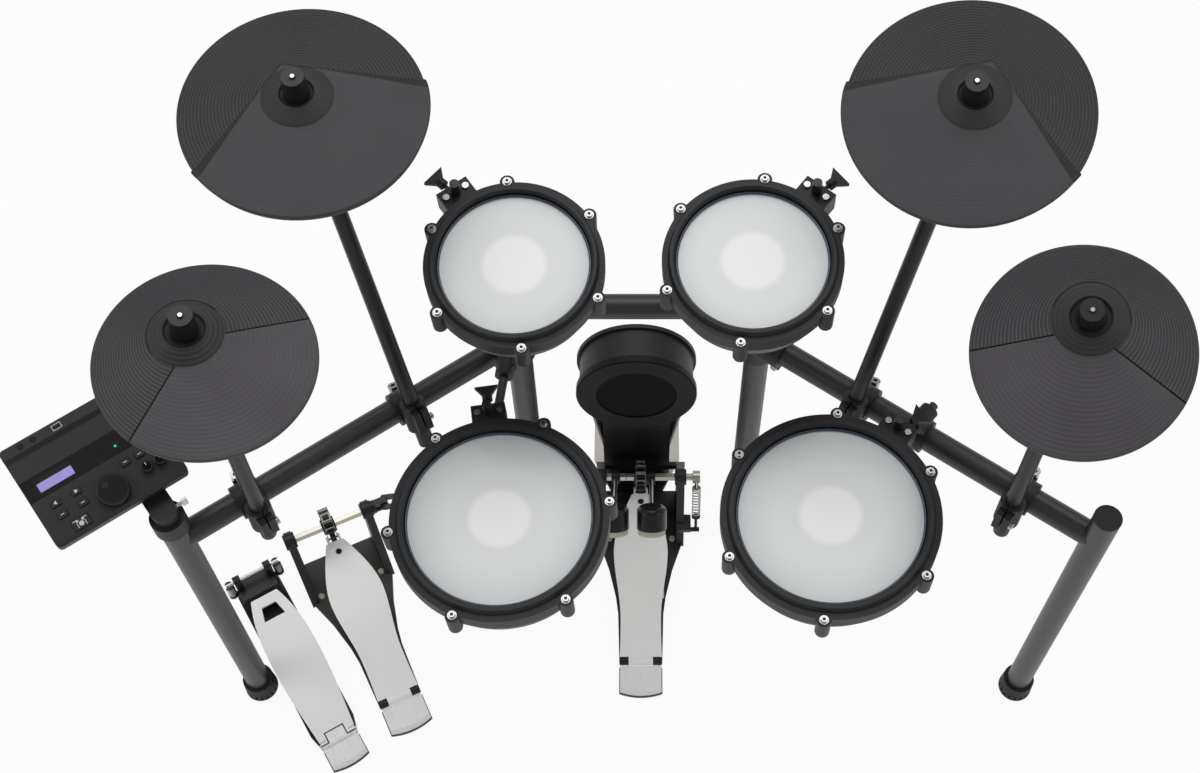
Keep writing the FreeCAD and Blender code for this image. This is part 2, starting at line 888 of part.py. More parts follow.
class DrumPad:
    """Place and sizes of one drum pad; heights are counted from the top of the head."""

    def __init__(self, centre, pitch, roll, head_diameter, rim_width, lug_turn, bracket_turn, wing_turn):
        self.centre = centre
        self.along, self.normal = tilted_axes(pitch, roll)
        self.head = head_diameter / 2
        self.hoop = self.head + rim_width
        self.turns = [lug_turn + 360 / lug_count * lug for lug in range(lug_count)]
        self.bracket_turn = bracket_turn
        self.wing_turn = wing_turn

    def place(self, shape):
        return stand(shape, self.centre, self.along, self.normal)

    def point(self, local):
        sideways = self.normal.cross(self.along)
        return self.centre + self.along * local.x + sideways * local.y + self.normal * local.z

    def rod_radius_from_centre(self):
        return self.hoop + bracket_reach

    def rod_top(self):
        """Top end of the pad rod, standing out of the bracket."""
        height = bracket_top + pad_rod_rise
        return self.point(polar(self.rod_radius_from_centre(), self.bracket_turn, height))

    def rod_at_height(self, height):
        """Point where the line of the pad rod comes down to a height."""
        top = self.rod_top()
        return top + self.normal * ((height - top.z) / self.normal.z)

    def lug_places(self, height):
        return [polar(self.hoop + lug_offset, turn, height) for turn in self.turns]

    def drop(self, radius, high, low):
        """Upright bars at the lugs between two heights."""
        return [rod(radius, spot + UP * low, spot + UP * high) for spot in self.lug_places(0)]

    def hoop_ring(self):
        inner = self.head + trim_ring_width
        outer = self.hoop
        rim_width = outer - self.head
        crest = self.head + rim_width * hoop_crest_share
        shoulder = self.head + rim_width * hoop_shoulder_share
        profile = [(inner, 0), (inner, hoop_lift - hoop_bevel), (inner + hoop_bevel, hoop_lift)]
        profile += [(crest, hoop_lift), (shoulder, lug_rise), (outer, lug_rise), (outer, -hoop_drop)]
        profile += [(outer - hoop_wall, -hoop_drop), (outer - hoop_wall, 0)]
        inside = Part.makeCylinder(outer - hoop_wall, hoop_drop, Vec(0, 0, -hoop_drop))
        ears = Part.makeCompound(self.drop(lug_radius, lug_rise, -hoop_drop)).cut(inside)
        ring = turned(profile).fuse(ears.Solids)
        ring = ring.cut(self.drop(lug_bolt_radius + moving_gap, hoop_lift, -hoop_drop - cut_overrun))
        return self.place(ring.removeSplitter())

    def shell(self):
        """Cup with its lugs and bracket, the sensor inside it and the wing bolt on the bracket."""
        seat = self.hoop - hoop_wall - tube_fit
        under_hoop = -hoop_drop - tube_fit
        profile = [(self.head, -head_thickness), (seat, -head_thickness), (seat, under_hoop)]
        profile += [(self.hoop - tube_fit, under_hoop), (self.hoop - shell_taper, -shell_depth)]
        floor = shell_floor - shell_depth
        profile += [(0, -shell_depth), (0, floor), (self.head, floor)]
        cup = turned(profile)
        hollow = Part.makeCylinder(self.head, shell_depth, UP * floor)
        lugs = Part.makeCompound(self.drop(lug_radius, under_hoop, under_hoop - lug_length)).cut(hollow)
        cup = cup.fuse(lugs.Solids)
        out = self.rod_radius_from_centre()
        low = bracket_top - bracket_height
        side = bracket_width / 2
        bracket = block(self.hoop - shell_taper, out + bracket_nose, -side, side, low, bracket_top)
        keep = Part.makeCylinder(self.hoop + moving_gap, hoop_drop, Vec(0, 0, -hoop_drop - tube_fit))
        bracket = bracket.cut(keep)
        foot = Vec(out, 0, low - cut_overrun)
        bore = rod(pad_rod_radius + moving_gap, foot, Vec(out, 0, bracket_top + cut_overrun))
        bracket.rotate(Vec(0, 0, 0), UP, self.bracket_turn)
        bore.rotate(Vec(0, 0, 0), UP, self.bracket_turn)
        cup = cup.fuse(bracket).cut(bore)
        screw = self.wing_screw(wing_screw_radius + moving_gap)
        cup = cup.cut(screw)
        cup = cup.cut(self.drop(lug_bolt_radius + moving_gap, 0, under_hoop - lug_length / 2))
        solids = [cup.removeSplitter(), self.sensor(), self.wing_bolt()]
        return [self.place(solid) for solid in solids]

    def sensor(self):
        """Sensor plate on the floor of the shell with its foam cone under the head."""
        floor = shell_floor - shell_depth
        plate = floor + sensor_plate_height
        tip = -head_thickness - sensor_gap
        profile = [(0, floor), (sensor_plate_radius, floor), (sensor_plate_radius, plate)]
        profile += [(sensor_cone_radius, plate), (sensor_tip_radius, tip), (0, tip)]
        return turned(profile)

    def mesh_head(self):
        radius = self.hoop - hoop_wall - tube_fit
        return self.place(Part.makeCylinder(radius, head_thickness, Vec(0, 0, -head_thickness)))

    def wing_screw(self, radius):
        """Line of the wing bolt, from its hub into the bore of the rod."""
        out = polar(self.rod_radius_from_centre(), self.bracket_turn, bracket_top - wing_drop)
        away = polar(1, self.bracket_turn + self.wing_turn, 0)
        start = out + away * (pad_rod_radius + moving_gap)
        return rod(radius, start, start + away * wing_screw_length)

    def bolts(self):
        """Lug bolts with washers and the bracket's two screws."""
        solids = []
        for spot in self.lug_places(lug_rise):
            washer = Part.makeCylinder(lug_washer_radius, lug_washer_height, spot)
            corners = []
            for corner in range(6):
                corners.append(spot + polar(lug_bolt_head_radius, 60 * corner, lug_washer_height))
            head = prism([tuple(corner) for corner in corners], UP * lug_bolt_head_height)
            shank_end = spot - UP * (lug_rise + hoop_drop + lug_length / 2)
            solids.append(washer.fuse(head).fuse(rod(lug_bolt_radius, shank_end, spot)))
        out = self.rod_radius_from_centre()
        for step in (-1, 1):
            spot = Vec(out, step * bracket_bolt_spread / 2, bracket_top)
            screw = Part.makeCylinder(bracket_bolt_radius, bracket_bolt_height, spot)
            screw.rotate(Vec(0, 0, 0), UP, self.bracket_turn)
            solids.append(screw)
        return [self.place(solid) for solid in solids]

    def wing_bolt(self):
        start = pad_rod_radius + moving_gap
        end = start + wing_screw_length
        screw = rod(wing_screw_radius, Vec(start, 0, 0), Vec(end, 0, 0))
        screw = screw.fuse(rod(wing_hub_radius, Vec(end, 0, 0), Vec(end + wing_hub_height, 0, 0)))
        half = wing_span / 2
        waist = wing_height / 4
        tip = end + wing_height
        outline = [(end, -waist, 0), (tip, -half, 0), (tip, half, 0), (end, waist, 0)]
        wings = prism(outline, UP * wing_thickness)
        wings.translate(UP * (-wing_thickness / 2))
        wings.translate(Vec(wing_hub_height - waist, 0, 0))
        bolt = screw.fuse(wings)
        bolt.rotate(Vec(0, 0, 0), UP, self.bracket_turn + self.wing_turn)
        bolt.translate(polar(self.rod_radius_from_centre(), self.bracket_turn, bracket_top - wing_drop))
        return bolt.removeSplitter()


def pad_holder(centre, axis, radius, width, spot, heading):
    """Ring round a tube, an arm, and a sleeve that takes the level end of a pad rod."""
    half = axis * (width / 2)
    body = rod(radius + holder_wall, centre - half, centre + half)
    reach = spot - centre
    wide = holder_arm_width / 2
    high = min(wide, width / 2)
    arm = block(0, reach.Length, -wide, wide, -high, high)
    if abs(reach.z) > reach.Length / 2:
        arm = stand(arm, centre, UP, axis)
    else:
        arm = stand(arm, centre, Vec(reach).normalize(), UP)
    sleeve = heading * (holder_sleeve_length / 2)
    body = body.fuse(arm).fuse(rod(holder_sleeve_radius, spot - sleeve, spot + sleeve))
    over = axis * (width / 2 + holder_sleeve_radius + cut_overrun)
    body = body.cut(rod(radius + tube_fit, centre - over, centre + over))
    past = heading * (holder_sleeve_length / 2 + rod_end_past_holder + cut_overrun)
    body = body.cut(rod(pad_rod_radius + tube_fit, spot - past, spot + past))
    return body.removeSplitter()


def pad_rod_and_holder(pad, centre, axis, radius, width, spot):
    """Bent rod from the pad's bracket down to the height of spot and on through its holder."""
    corner = pad.rod_at_height(spot.z)
    heading = (spot - corner).normalize()
    end = spot + heading * (holder_sleeve_length / 2 + rod_end_past_holder)
    bar = bent_rod((pad.rod_top(), corner, end), pad_rod_radius, pad_rod_bend)
    return bar, pad_holder(centre, axis, radius, width, spot, heading)


def kick_axes():
    lean = math.radians(kick_lean)
    facing = Vec(0, -math.cos(lean), math.sin(lean))
    return Vec(kick_x, kick_face_y, kick_height), facing


def kick_housing():
    """Round housing behind the striking face, turned about the face's axis."""
    face = kick_face_diameter / 2
    waist = kick_waist_diameter / 2
    profile = [(0, -kick_ring_depth), (waist, -kick_ring_depth), (waist, kick_flange_depth - kick_depth)]
    profile += [(face, kick_flange_depth - kick_depth), (face, -kick_depth), (0, -kick_depth)]
    centre, facing = kick_axes()
    return stand(turned(profile), centre, RIGHT, facing)


def kick_face():
    """Rubber ring with a recessed cloth disc."""
    face = kick_face_diameter / 2
    disc = kick_disc_diameter / 2
    profile = [(0, -kick_disc_recess), (disc, -kick_disc_recess), (disc, 0)]
    profile += [(face - kick_disc_recess, 0), (face, -kick_disc_recess), (face, -kick_ring_depth)]
    profile += [(0, -kick_ring_depth)]
    centre, facing = kick_axes()
    return stand(turned(profile), centre, RIGHT, facing)


def kick_tower():
    """Channel-shaped upright with flared slotted wings on a floor plate."""
    centre, facing = kick_axes()
    half = tower_width / 2
    y0 = kick_face_y + tower_front_gap
    y1 = y0 + tower_channel_depth
    top = kick_height - kick_waist_diameter / 4
    shell = block(-half, half, y0, y1, 0, top)
    inside = half - tower_plate
    over = top + cut_overrun
    hollow = block(-inside, inside, y0 + tower_plate, y1 + cut_overrun, tower_base_height, over)
    tower = shell.cut(hollow)
    base_half = tower_base_width / 2
    nose_half = tower_nose_width / 2
    rear = y0 + tower_base_length
    plan = [(-nose_half, y0 - tower_nose_length, 0), (nose_half, y0 - tower_nose_length, 0)]
    plan += [(base_half, y1, 0), (base_half, rear, 0), (-base_half, rear, 0), (-base_half, y1, 0)]
    tower = tower.fuse(prism(plan, UP * tower_base_height))
    for side in (-1, 1):
        foot = side * half
        tip = side * wing_plate_spread
        crown = kick_height
        profile = [(foot, y0, wing_plate_foot), (tip, y0, crown), (tip - side * tower_plate, y0, crown)]
        profile += [(foot - side * tower_plate, y0, wing_plate_foot)]
        wing = prism(profile, AWAY * wing_plate_length)
        middle = Vec((foot + tip) / 2, y0 + wing_plate_length / 2, (wing_plate_foot + crown) / 2)
        slope = (Vec(tip, 0, crown) - Vec(foot, 0, wing_plate_foot)).normalize()
        across = slope.cross(AWAY)
        wide = wing_slot_width / 2
        long = wing_slot_length / 2
        slot = block(-half, half, -wide, wide, -long, long)
        wing = wing.cut(stand(slot, middle, across, slope))
        tower = tower.fuse(wing)
        outward = across * -side
        low = Vec(foot, middle.y, wing_plate_foot)
        rise = Vec(tip, middle.y, crown) - low
        for share in tower_knob_places_share:
            spot = low + rise * share
            knob = rod(tower_knob_radius, spot - outward * tower_plate, spot + outward * tower_knob_height)
            tower = tower.fuse(knob)
    tower.translate(RIGHT * kick_x)
    bore = kick_waist_diameter / 2 + tube_fit
    tower = tower.cut(rod(bore, centre - facing * (2 * kick_depth), centre + facing * kick_depth))
    return tower.removeSplitter()


class Pedal:
    """Floor frame of a pedal: origin on the floor under the axle, Y towards the toe."""

    def __init__(self, x, y, turn):
        self.origin = Vec(x, y, 0)
        angle = math.radians(turn)
        self.along = Vec(math.cos(angle), math.sin(angle), 0)
        self.ahead = Vec(-math.sin(angle), math.cos(angle), 0)

    def place(self, shape):
        return stand(shape, self.origin, self.along, UP)

    def point(self, x, y, z):
        return self.origin + self.along * x + self.ahead * y + UP * z


def smooth_outline(widths, stations, length):
    """Outline of a footboard: both long edges are curves through half widths at stations."""
    right = [Vec(width / 2, share * length, 0) for width, share in zip(widths, stations)]
    left = [Vec(-point.x, point.y, 0) for point in right]
    edges = []
    for side in (right, left):
        curve = Part.BSplineCurve()
        curve.interpolate(side)
        edges.append(curve.toShape())
    edges.append(Part.LineSegment(left[0], right[0]).toShape())
    edges.append(Part.LineSegment(left[-1], right[-1]).toShape())
    return Part.Face(Part.Wire(Part.__sortEdges__(edges)))


def tip_up(shape, hinge_y, hinge_z, angle):
    """Lay a board modelled flat about its hinge pin at its rest angle."""
    laid = shape.copy()
    laid.rotate(Vec(0, 0, 0), RIGHT, angle)
    laid.translate(Vec(0, hinge_y, hinge_z))
    return laid


def bass_board(pedal):
    """Footboard with a hinge knuckle at the heel and a chain clevis under the toe."""
    low = -board_thickness / 2
    board = smooth_outline(board_widths, board_stations_share, board_length).extrude(UP * board_thickness)
    board.translate(UP * low)
    half = board_knuckle_width / 2
    wall = hinge_pin_radius + board_thickness / 2
    side = board_widths[0]
    relief = wall + moving_gap
    under = low - cut_overrun
    for x0, x1 in ((-side, -half), (half, side)):
        board = board.cut(block(x0, x1, -relief, relief, under, -under))
    board = board.fuse(rod(wall, Vec(-half, 0, 0), Vec(half, 0, 0)))
    clevis = clevis_width / 2
    eye = Vec(0, board_length + clevis_reach, 0)
    reach = clevis_depth / 2
    board = board.fuse(block(-clevis, clevis, board_length - clevis_depth, eye.y, -reach, reach))
    board = board.fuse(rod(reach, eye - RIGHT * clevis, eye + RIGHT * clevis))
    tongue = link_inner_width / 2 + 2 * link_plate_thickness + moving_gap + link_side_gap
    far = eye.y + clevis_depth
    board = board.cut(block(-tongue, tongue, board_length + cut_overrun, far, -clevis_depth, clevis_depth))
    board = board.cut(rod(link_pin_radius + link_pin_gap, eye - RIGHT * side, eye + RIGHT * side))
    board = board.cut(rod(hinge_pin_radius + moving_gap, Vec(-side, 0, 0), Vec(side, 0, 0)))
    return pedal.place(tip_up(board.removeSplitter(), -hinge_setback, hinge_height, board_rest_angle))


def heel_slab(half, front, length, top):
    """Plate behind the hinge with a bowed rear edge."""
    rear = front - length
    bow = Part.makeCylinder(heel_bow_radius, top, Vec(0, rear + heel_bow_radius, 0))
    return block(-half, half, rear, front, 0, top).common(bow)


def heel_plate(half, front, length, top):
    """Heel plate with a chamfer along its rear edge, on a thin rim."""
    slab = heel_slab(half, front, length, top)
    slope = []
    for edge in slab.Edges:
        if edge.CenterOfMass.z > top - tube_fit and edge.CenterOfMass.y < front - length / 2 - heel_rim:
            slope.append(edge)
    slab = slab.makeChamfer(heel_thickness / 3, slope)
    return slab.fuse(heel_slab(half + heel_rim, front, length + heel_rim, base_plate_thickness))


def bass_base(with_bridge):
    """Floor plate, heel plate with hinge ears and pin, two posts and, on the kick pedal, a bridge."""
    front = base_front if with_bridge else remote_base_front
    right = [(width / 2, -setback, 0) for width, setback in zip(base_widths, base_setbacks)]
    right.append((base_widths[-1] / 2, front, 0))
    left = [(-x, y, z) for x, y, z in reversed(right)]
    plate = prism(right + left, UP * base_plate_thickness)
    slot_half = base_slot_width / 2
    slot_end = base_slot_setback - base_slot_length
    over = base_plate_thickness + cut_overrun
    plate = plate.cut(block(-slot_half, slot_half, -base_slot_setback, -slot_end, -cut_overrun, over))
    wall = hinge_pin_radius + board_thickness / 2
    back = hinge_setback + wall + moving_gap
    heel = heel_plate(heel_width / 2, -back, heel_length, heel_thickness)
    ear_in = board_knuckle_width / 2 + moving_gap
    ear_out = ear_in + heel_knuckle_width
    pin = Vec(0, -hinge_setback, hinge_height)
    for x0, x1 in ((-ear_out, -ear_in), (ear_in, ear_out)):
        ear = block(x0, x1, -back, -hinge_setback, 0, hinge_height)
        heel = heel.fuse(ear.fuse(rod(wall, pin + RIGHT * x0, pin + RIGHT * x1)))
    heel = heel.fuse(rod(hinge_pin_radius, pin - RIGHT * ear_out, pin + RIGHT * ear_out))
    frame = plate.fuse(heel)
    for step in (-1, 1):
        frame = frame.fuse(post(step, with_bridge))
    bridge_half = post_spread / 2 + bridge_overhang
    low = bridge_level - bridge_height / 2
    top = bridge_level + bridge_height / 2
    if with_bridge:
        near = bridge_setback - bridge_depth
        frame = frame.fuse(block(-bridge_half, bridge_half, near, bridge_setback, low, top))
    bore = axle_radius + moving_gap
    frame = frame.cut(rod(bore, Vec(-post_spread, 0, axle_height), Vec(post_spread, 0, axle_height)))
    return frame.removeSplitter()


def post(step, with_bridge):
    """Upright side plate with a round top and a bearing boss; the kick pedal's also backs the bridge."""
    middle = step * post_spread / 2
    x0 = middle - post_thickness / 2
    if with_bridge:
        half = bridge_height / 2
        back = [(x0, post_foot_front, 0), (x0, bridge_setback, bridge_level - half)]
        back += [(x0, bridge_setback, bridge_level + half), (x0, 0, axle_height + post_top_radius)]
    else:
        back = [(x0, remote_base_front, 0), (x0, post_top_radius, axle_height)]
    profile = [(x0, -post_foot_back, 0)] + back + [(x0, -post_top_radius, axle_height)]
    plate = prism(profile, RIGHT * post_thickness)
    centre = Vec(middle, 0, axle_height)
    for radius, width in ((post_top_radius, post_thickness), (post_boss_radius, post_boss_width)):
        half = RIGHT * (width / 2)
        plate = plate.fuse(rod(radius, centre - half, centre + half))
    return plate


def spring_seat(pin, pin_radius, towards):
    """Round block on a pin with a flat face that the end of a spring sits on."""
    face = pin + Vec(towards).normalize() * (pin_radius + spring_seat_height)
    return rod(spring_radius + spring_wire / 2, pin, face), face


def stemmed_seat(pin, towards):
    """Stem on an anchor stud with a round seat at its end for the foot of a spring."""
    way = Vec(towards).normalize()
    face = pin + way * spring_stem_length
    seat = rod(spring_radius + spring_wire / 2, face - way * spring_seat_height, face)
    return rod(spring_stem_radius, pin, face).fuse(seat), face


def spring_pins(step):
    """Middles of the crank pin and of the anchor stud, which a return spring joins."""
    x = step * (post_spread / 2 + post_thickness / 2 + axle_overhang - crank_thickness / 2)
    high = Vec(x, -crank_reach, axle_height)
    return high, high - AWAY * spring_slant - UP * spring_drop


def spring_anchor(step):
    """Flat arm and stud on the outer side of a post, with the stem that carries the foot of the spring."""
    high, low = spring_pins(step)
    inner = step * (post_spread / 2 - post_thickness / 2)
    end = low.x - step * (spring_radius + spring_wire)
    x0, x1 = sorted((inner, end))
    half = spring_stud_radius
    arm = block(x0, x1, low.y - half, low.y + spring_arm_length, low.z - half, low.z + half)
    stud = rod(spring_stud_radius, Vec(inner, low.y, low.z), low + RIGHT * (step * spring_anchor_width / 2))
    return arm.fuse(stud).fuse(stemmed_seat(low, high - low)[0])


def return_spring(step):
    high, low = spring_pins(step)
    top = spring_seat(high, crank_pin_radius, low - high)[1]
    foot = stemmed_seat(low, high - low)[1]
    return coil_spring(spring_radius, spring_wire, spring_turns, foot, top)


def sprocket():
    """Toothed wheel on its hub, about X at the axle's height."""
    root = sprocket_radius - roller_radius - link_side_gap
    tip = sprocket_radius + sprocket_tooth / 2
    pitch_angle = 360 / sprocket_teeth
    flank = ((-root_share, root), (-tip_share, tip), (tip_share, tip), (root_share, root))
    outline = []
    for tooth in range(sprocket_teeth):
        for share, radius in flank:
            outline.append(polar(radius, chain_leaves_at() + pitch_angle * (tooth + 1 / 2 + share), 0))
    wheel = prism([tuple(point) for point in outline], UP * sprocket_width)
    wheel.translate(UP * (-sprocket_width / 2))
    hub = Part.makeCylinder(sprocket_hub_radius, sprocket_hub_width, Vec(0, 0, -sprocket_hub_width / 2))
    return stand(wheel.fuse(hub), UP * axle_height, AWAY, RIGHT)


def crank(step):
    """Spring crank on an axle end: round plate, pin towards the player and upper seat of the spring."""
    high, low = spring_pins(step)
    hub = Vec(high.x, 0, axle_height)
    half = RIGHT * (crank_thickness / 2)
    plate = rod(crank_radius, hub - half, hub + half)
    arm = rod(crank_pin_radius, hub, high - AWAY * crank_pin_radius)
    return plate.fuse(arm).fuse(spring_seat(high, crank_pin_radius, low - high)[0])


def beater(x):
    """Hub and rod of a beater at rest, and the head with its felt."""
    hub_half = beater_hub_width / 2
    hub = rod(beater_hub_radius, Vec(x - hub_half, 0, axle_height), Vec(x + hub_half, 0, axle_height))
    angle = math.radians(beater_rest_angle)
    out = Vec(0, -math.sin(angle), math.cos(angle))
    forward = Vec(0, math.cos(angle), math.sin(angle))
    base = Vec(x, 0, axle_height)
    middle = base + out * beater_reach
    stick = hub.fuse(rod(beater_rod_radius, base, middle))
    front = middle + forward * (beater_head_length / 2)
    rear = middle - forward * (beater_head_length / 2)
    head = rod(beater_head_radius, rear, front)
    rims = [edge for edge in head.Edges if (edge.CenterOfMass - front).Length < tube_fit]
    head = head.makeFillet(beater_head_round, rims)
    head = head.cut(rod(beater_rod_radius, base, middle))
    felt = rod(beater_felt_radius, rear - forward * beater_felt_length, rear)
    return stick, head, felt


def hex_bar(x0, x1):
    """Six-sided part of an axle between two places along it."""
    corners = [polar(axle_flats / math.sqrt(3), 60 * corner, 0) for corner in range(6)]
    bar = prism([tuple(corner) for corner in corners], UP * (x1 - x0))
    return stand(bar, Vec(x0, 0, axle_height), AWAY, RIGHT)


def kick_axle(pedal):
    """Kick pedal axle with sprocket, right beater and spring crank."""
    right = post_spread / 2 + post_thickness / 2 + axle_overhang
    shaft = rod(axle_radius, Vec(main_axle_left, 0, axle_height), Vec(right, 0, axle_height))
    shaft = shaft.fuse(hex_bar(main_axle_left, hex_end))
    stick, head, felt = beater(right_beater_x)
    shaft = shaft.fuse(sprocket()).fuse(stick).fuse(crank(1))
    return [pedal.place(shape) for shape in (shaft.removeSplitter(), head, felt)]


def left_beater(pedal, drive):
    """Second beater on its own shaft through the left post, with its spring crank, ending in a yoke."""
    inner = main_axle_left - shaft_parting
    shaft = rod(axle_radius, Vec(left_shaft_end, 0, axle_height), Vec(inner, 0, axle_height))
    shaft = shaft.fuse(hex_bar(-hex_end, inner))
    stick, head, felt = beater(left_beater_x)
    shaft = shaft.fuse(stick).fuse(crank(-1))
    placed = [pedal.place(shape) for shape in (shaft.removeSplitter(), head, felt)]
    placed[0] = placed[0].fuse(drive.yoke(1, False)).removeSplitter()
    return placed


def remote_axle(pedal, drive):
    """Remote pedal axle with its sprocket, ending in a yoke towards the kick pedal."""
    left = (post_spread + post_thickness) / 2
    shaft = rod(axle_radius, Vec(-left, 0, axle_height), Vec(remote_shaft_end, 0, axle_height))
    shaft = shaft.fuse(hex_bar(-hex_end, hex_end)).fuse(sprocket())
    return pedal.place(shaft.removeSplitter()).fuse(drive.yoke(0, False)).removeSplitter()


class DriveShaft:
    """Shaft between two universal joints: at the remote axle's end and at the left beater's shaft."""

    def __init__(self, remote, kick):
        ends = (remote.point(remote_shaft_end, 0, axle_height), kick.point(left_shaft_end, 0, axle_height))
        outward = (remote.along, kick.along * -1)
        self.centres = [end + axis * yoke_reach for end, axis in zip(ends, outward)]
        self.axle_axes = outward
        self.axis = (self.centres[1] - self.centres[0]).normalize()

    def yoke(self, which, on_shaft):
        """Fork that faces a joint's centre; the axle's fork also carries the joint's ball."""
        centre = self.centres[which]
        if on_shaft:
            axis = self.axis * (1 if which == 0 else -1) * -1
        else:
            axis = self.axle_axes[which]
        pin = axis.cross(UP).normalize() if on_shaft else UP
        inner = yoke_gap / 2
        outer = inner + yoke_ear_thickness
        foot = centre - axis * yoke_reach
        neck = centre - axis * (yoke_reach - yoke_ear_thickness)
        fork = rod(outer, foot, neck)
        ear = block(-yoke_reach + yoke_ear_thickness, 0, -yoke_ear_radius, yoke_ear_radius, inner, outer)
        tip = rod(yoke_ear_radius, Vec(0, 0, inner), Vec(0, 0, outer))
        for sign in (1, -1):
            fork = fork.fuse(stand(ear.fuse(tip), centre, axis, pin * sign))
        if on_shaft:
            clear = joint_ball_radius + moving_gap
            for way in (pin, pin * -1):
                fork = fork.fuse(rod(joint_pin_radius, centre + way * clear, centre + way * outer))
        else:
            fork = fork.fuse(Part.makeSphere(joint_ball_radius, centre))
            fork = fork.fuse(rod(joint_pin_radius, centre - pin * outer, centre + pin * outer))
        return fork

    def body(self):
        start = self.centres[0] + self.axis * yoke_reach
        end = self.centres[1] - self.axis * yoke_reach
        shaft = rod(shaft_radius, start, end)
        shaft = shaft.fuse(rod(shaft_sleeve_radius, start, start + (end - start) * shaft_sleeve_share))
        return shaft.fuse(self.yoke(0, True)).fuse(self.yoke(1, True)).removeSplitter()


def chain_leaves_at():
    """Turn from +Y, in degrees, of the sprocket point where the chain runs off straight to the toe."""
    toe = clevis_pin() - UP * axle_height
    lean = math.acos(sprocket_radius / toe.Length)
    return math.degrees(math.atan2(toe.z, toe.y) + lean) % 360


def sprocket_point(degrees):
    """Point on the pitch circle at a turn from +Y."""
    turn = math.radians(degrees)
    return Vec(0, sprocket_radius * math.cos(turn), axle_height + sprocket_radius * math.sin(turn))


def chain_links(pedal):
    """Roller chain from the toe clevis, under the axle and up over the far side of the sprocket."""
    step = 360 / sprocket_teeth
    leave = chain_leaves_at()
    off = sprocket_point(leave)
    toe = clevis_pin()
    joints = [toe + (off - toe) * (link / chain_drop_links) for link in range(chain_drop_links)]
    joints += [sprocket_point(leave + step * link) for link in range(chain_wrap_links + 1)]
    links = []
    for number, (low, high) in enumerate(zip(joints, joints[1:])):
        links.append(pedal.place(chain_link(low, high, number % 2 == 0)))
    print("chain: pitch on the straight %.2f mm" % (joints[1] - joints[0]).Length)
    return links


def clevis_pin():
    """Eye of the clevis past the toe of a footboard at rest."""
    along = board_length + clevis_reach
    y = along * math.cos(board_rest) - hinge_setback
    return Vec(0, y, along * math.sin(board_rest) + hinge_height)


def chain_link(low, high, outer):
    """One link: two plates with pins, or two plates with rollers, between two joints."""
    half = link_inner_width / 2 + (link_plate_thickness + link_side_gap if outer else 0)
    along = (high - low).normalize()
    reach = (high - low).Length
    radius = link_plate_height / 2
    plate = block(0, reach, -radius, radius, 0, link_plate_thickness)
    for spot in (0, reach):
        plate = plate.fuse(Part.makeCylinder(radius, link_plate_thickness, Vec(spot, 0, 0)))
    pin = half + link_plate_thickness
    body = stand(plate, low + RIGHT * half, along, RIGHT)
    body = body.fuse(stand(plate, low - RIGHT * pin, along, RIGHT))
    for spot in (low, high):
        if outer:
            body = body.fuse(rod(link_pin_radius, spot - RIGHT * pin, spot + RIGHT * pin))
        else:
            body = body.fuse(rod(roller_radius, spot - RIGHT * half, spot + RIGHT * half))
            over = RIGHT * (2 * pin)
            body = body.cut(rod(link_pin_radius + link_pin_gap, spot - over, spot + over))
    return body.removeSplitter()


def hi_hat_pedal_axes():
    return Pedal(hi_hat_pedal_x, hi_hat_pedal_y, hi_hat_pedal_turn)


def hi_hat_board(pedal):
    """Long footboard with a window near the toe."""
    low = -board_thickness / 2
    outline = smooth_outline(hi_hat_board_widths, hi_hat_stations_share, hi_hat_board_length)
    board = outline.extrude(UP * board_thickness)
    board.translate(UP * low)
    half = board_knuckle_width / 2
    wall = hinge_pin_radius + board_thickness / 2
    side = hi_hat_base_width
    relief = wall + moving_gap
    for x0, x1 in ((-side, -half), (half, side)):
        board = board.cut(block(x0, x1, -relief, relief, low - cut_overrun, -low + cut_overrun))
    board = board.fuse(rod(wall, Vec(-half, 0, 0), Vec(half, 0, 0)))
    y0, y1 = [share * hi_hat_board_length for share in hi_hat_window_share]
    wide = hi_hat_board_widths[-1] * hi_hat_window_width_share / 2
    slant = (y1 - y0) / 4
    window = [(-wide, y0, low - cut_overrun), (wide, y0, low - cut_overrun)]
    window += [(wide - slant, y1, low - cut_overrun), (slant - wide, y1, low - cut_overrun)]
    board = board.cut(prism(window, UP * (board_thickness + 2 * cut_overrun)))
    board = board.cut(rod(hinge_pin_radius + moving_gap, Vec(-side, 0, 0), Vec(side, 0, 0)))
    board = tip_up(board.removeSplitter(), hi_hat_heel_length, hi_hat_hinge_height, hi_hat_board_angle)
    return pedal.place(board)


def hi_hat_toe():
    """Middle of the footboard's toe end at rest, in the pedal's own frame."""
    angle = math.radians(hi_hat_board_angle)
    y = hi_hat_heel_length + hi_hat_board_length * math.cos(angle)
    return y, hi_hat_hinge_height + hi_hat_board_length * math.sin(angle)


def hi_hat_rod_place():
    """Distance of the tower's rod from the heel."""
    return hi_hat_toe()[0] + hi_hat_tower_gap + hi_hat_tower_depth * hi_hat_rod_share


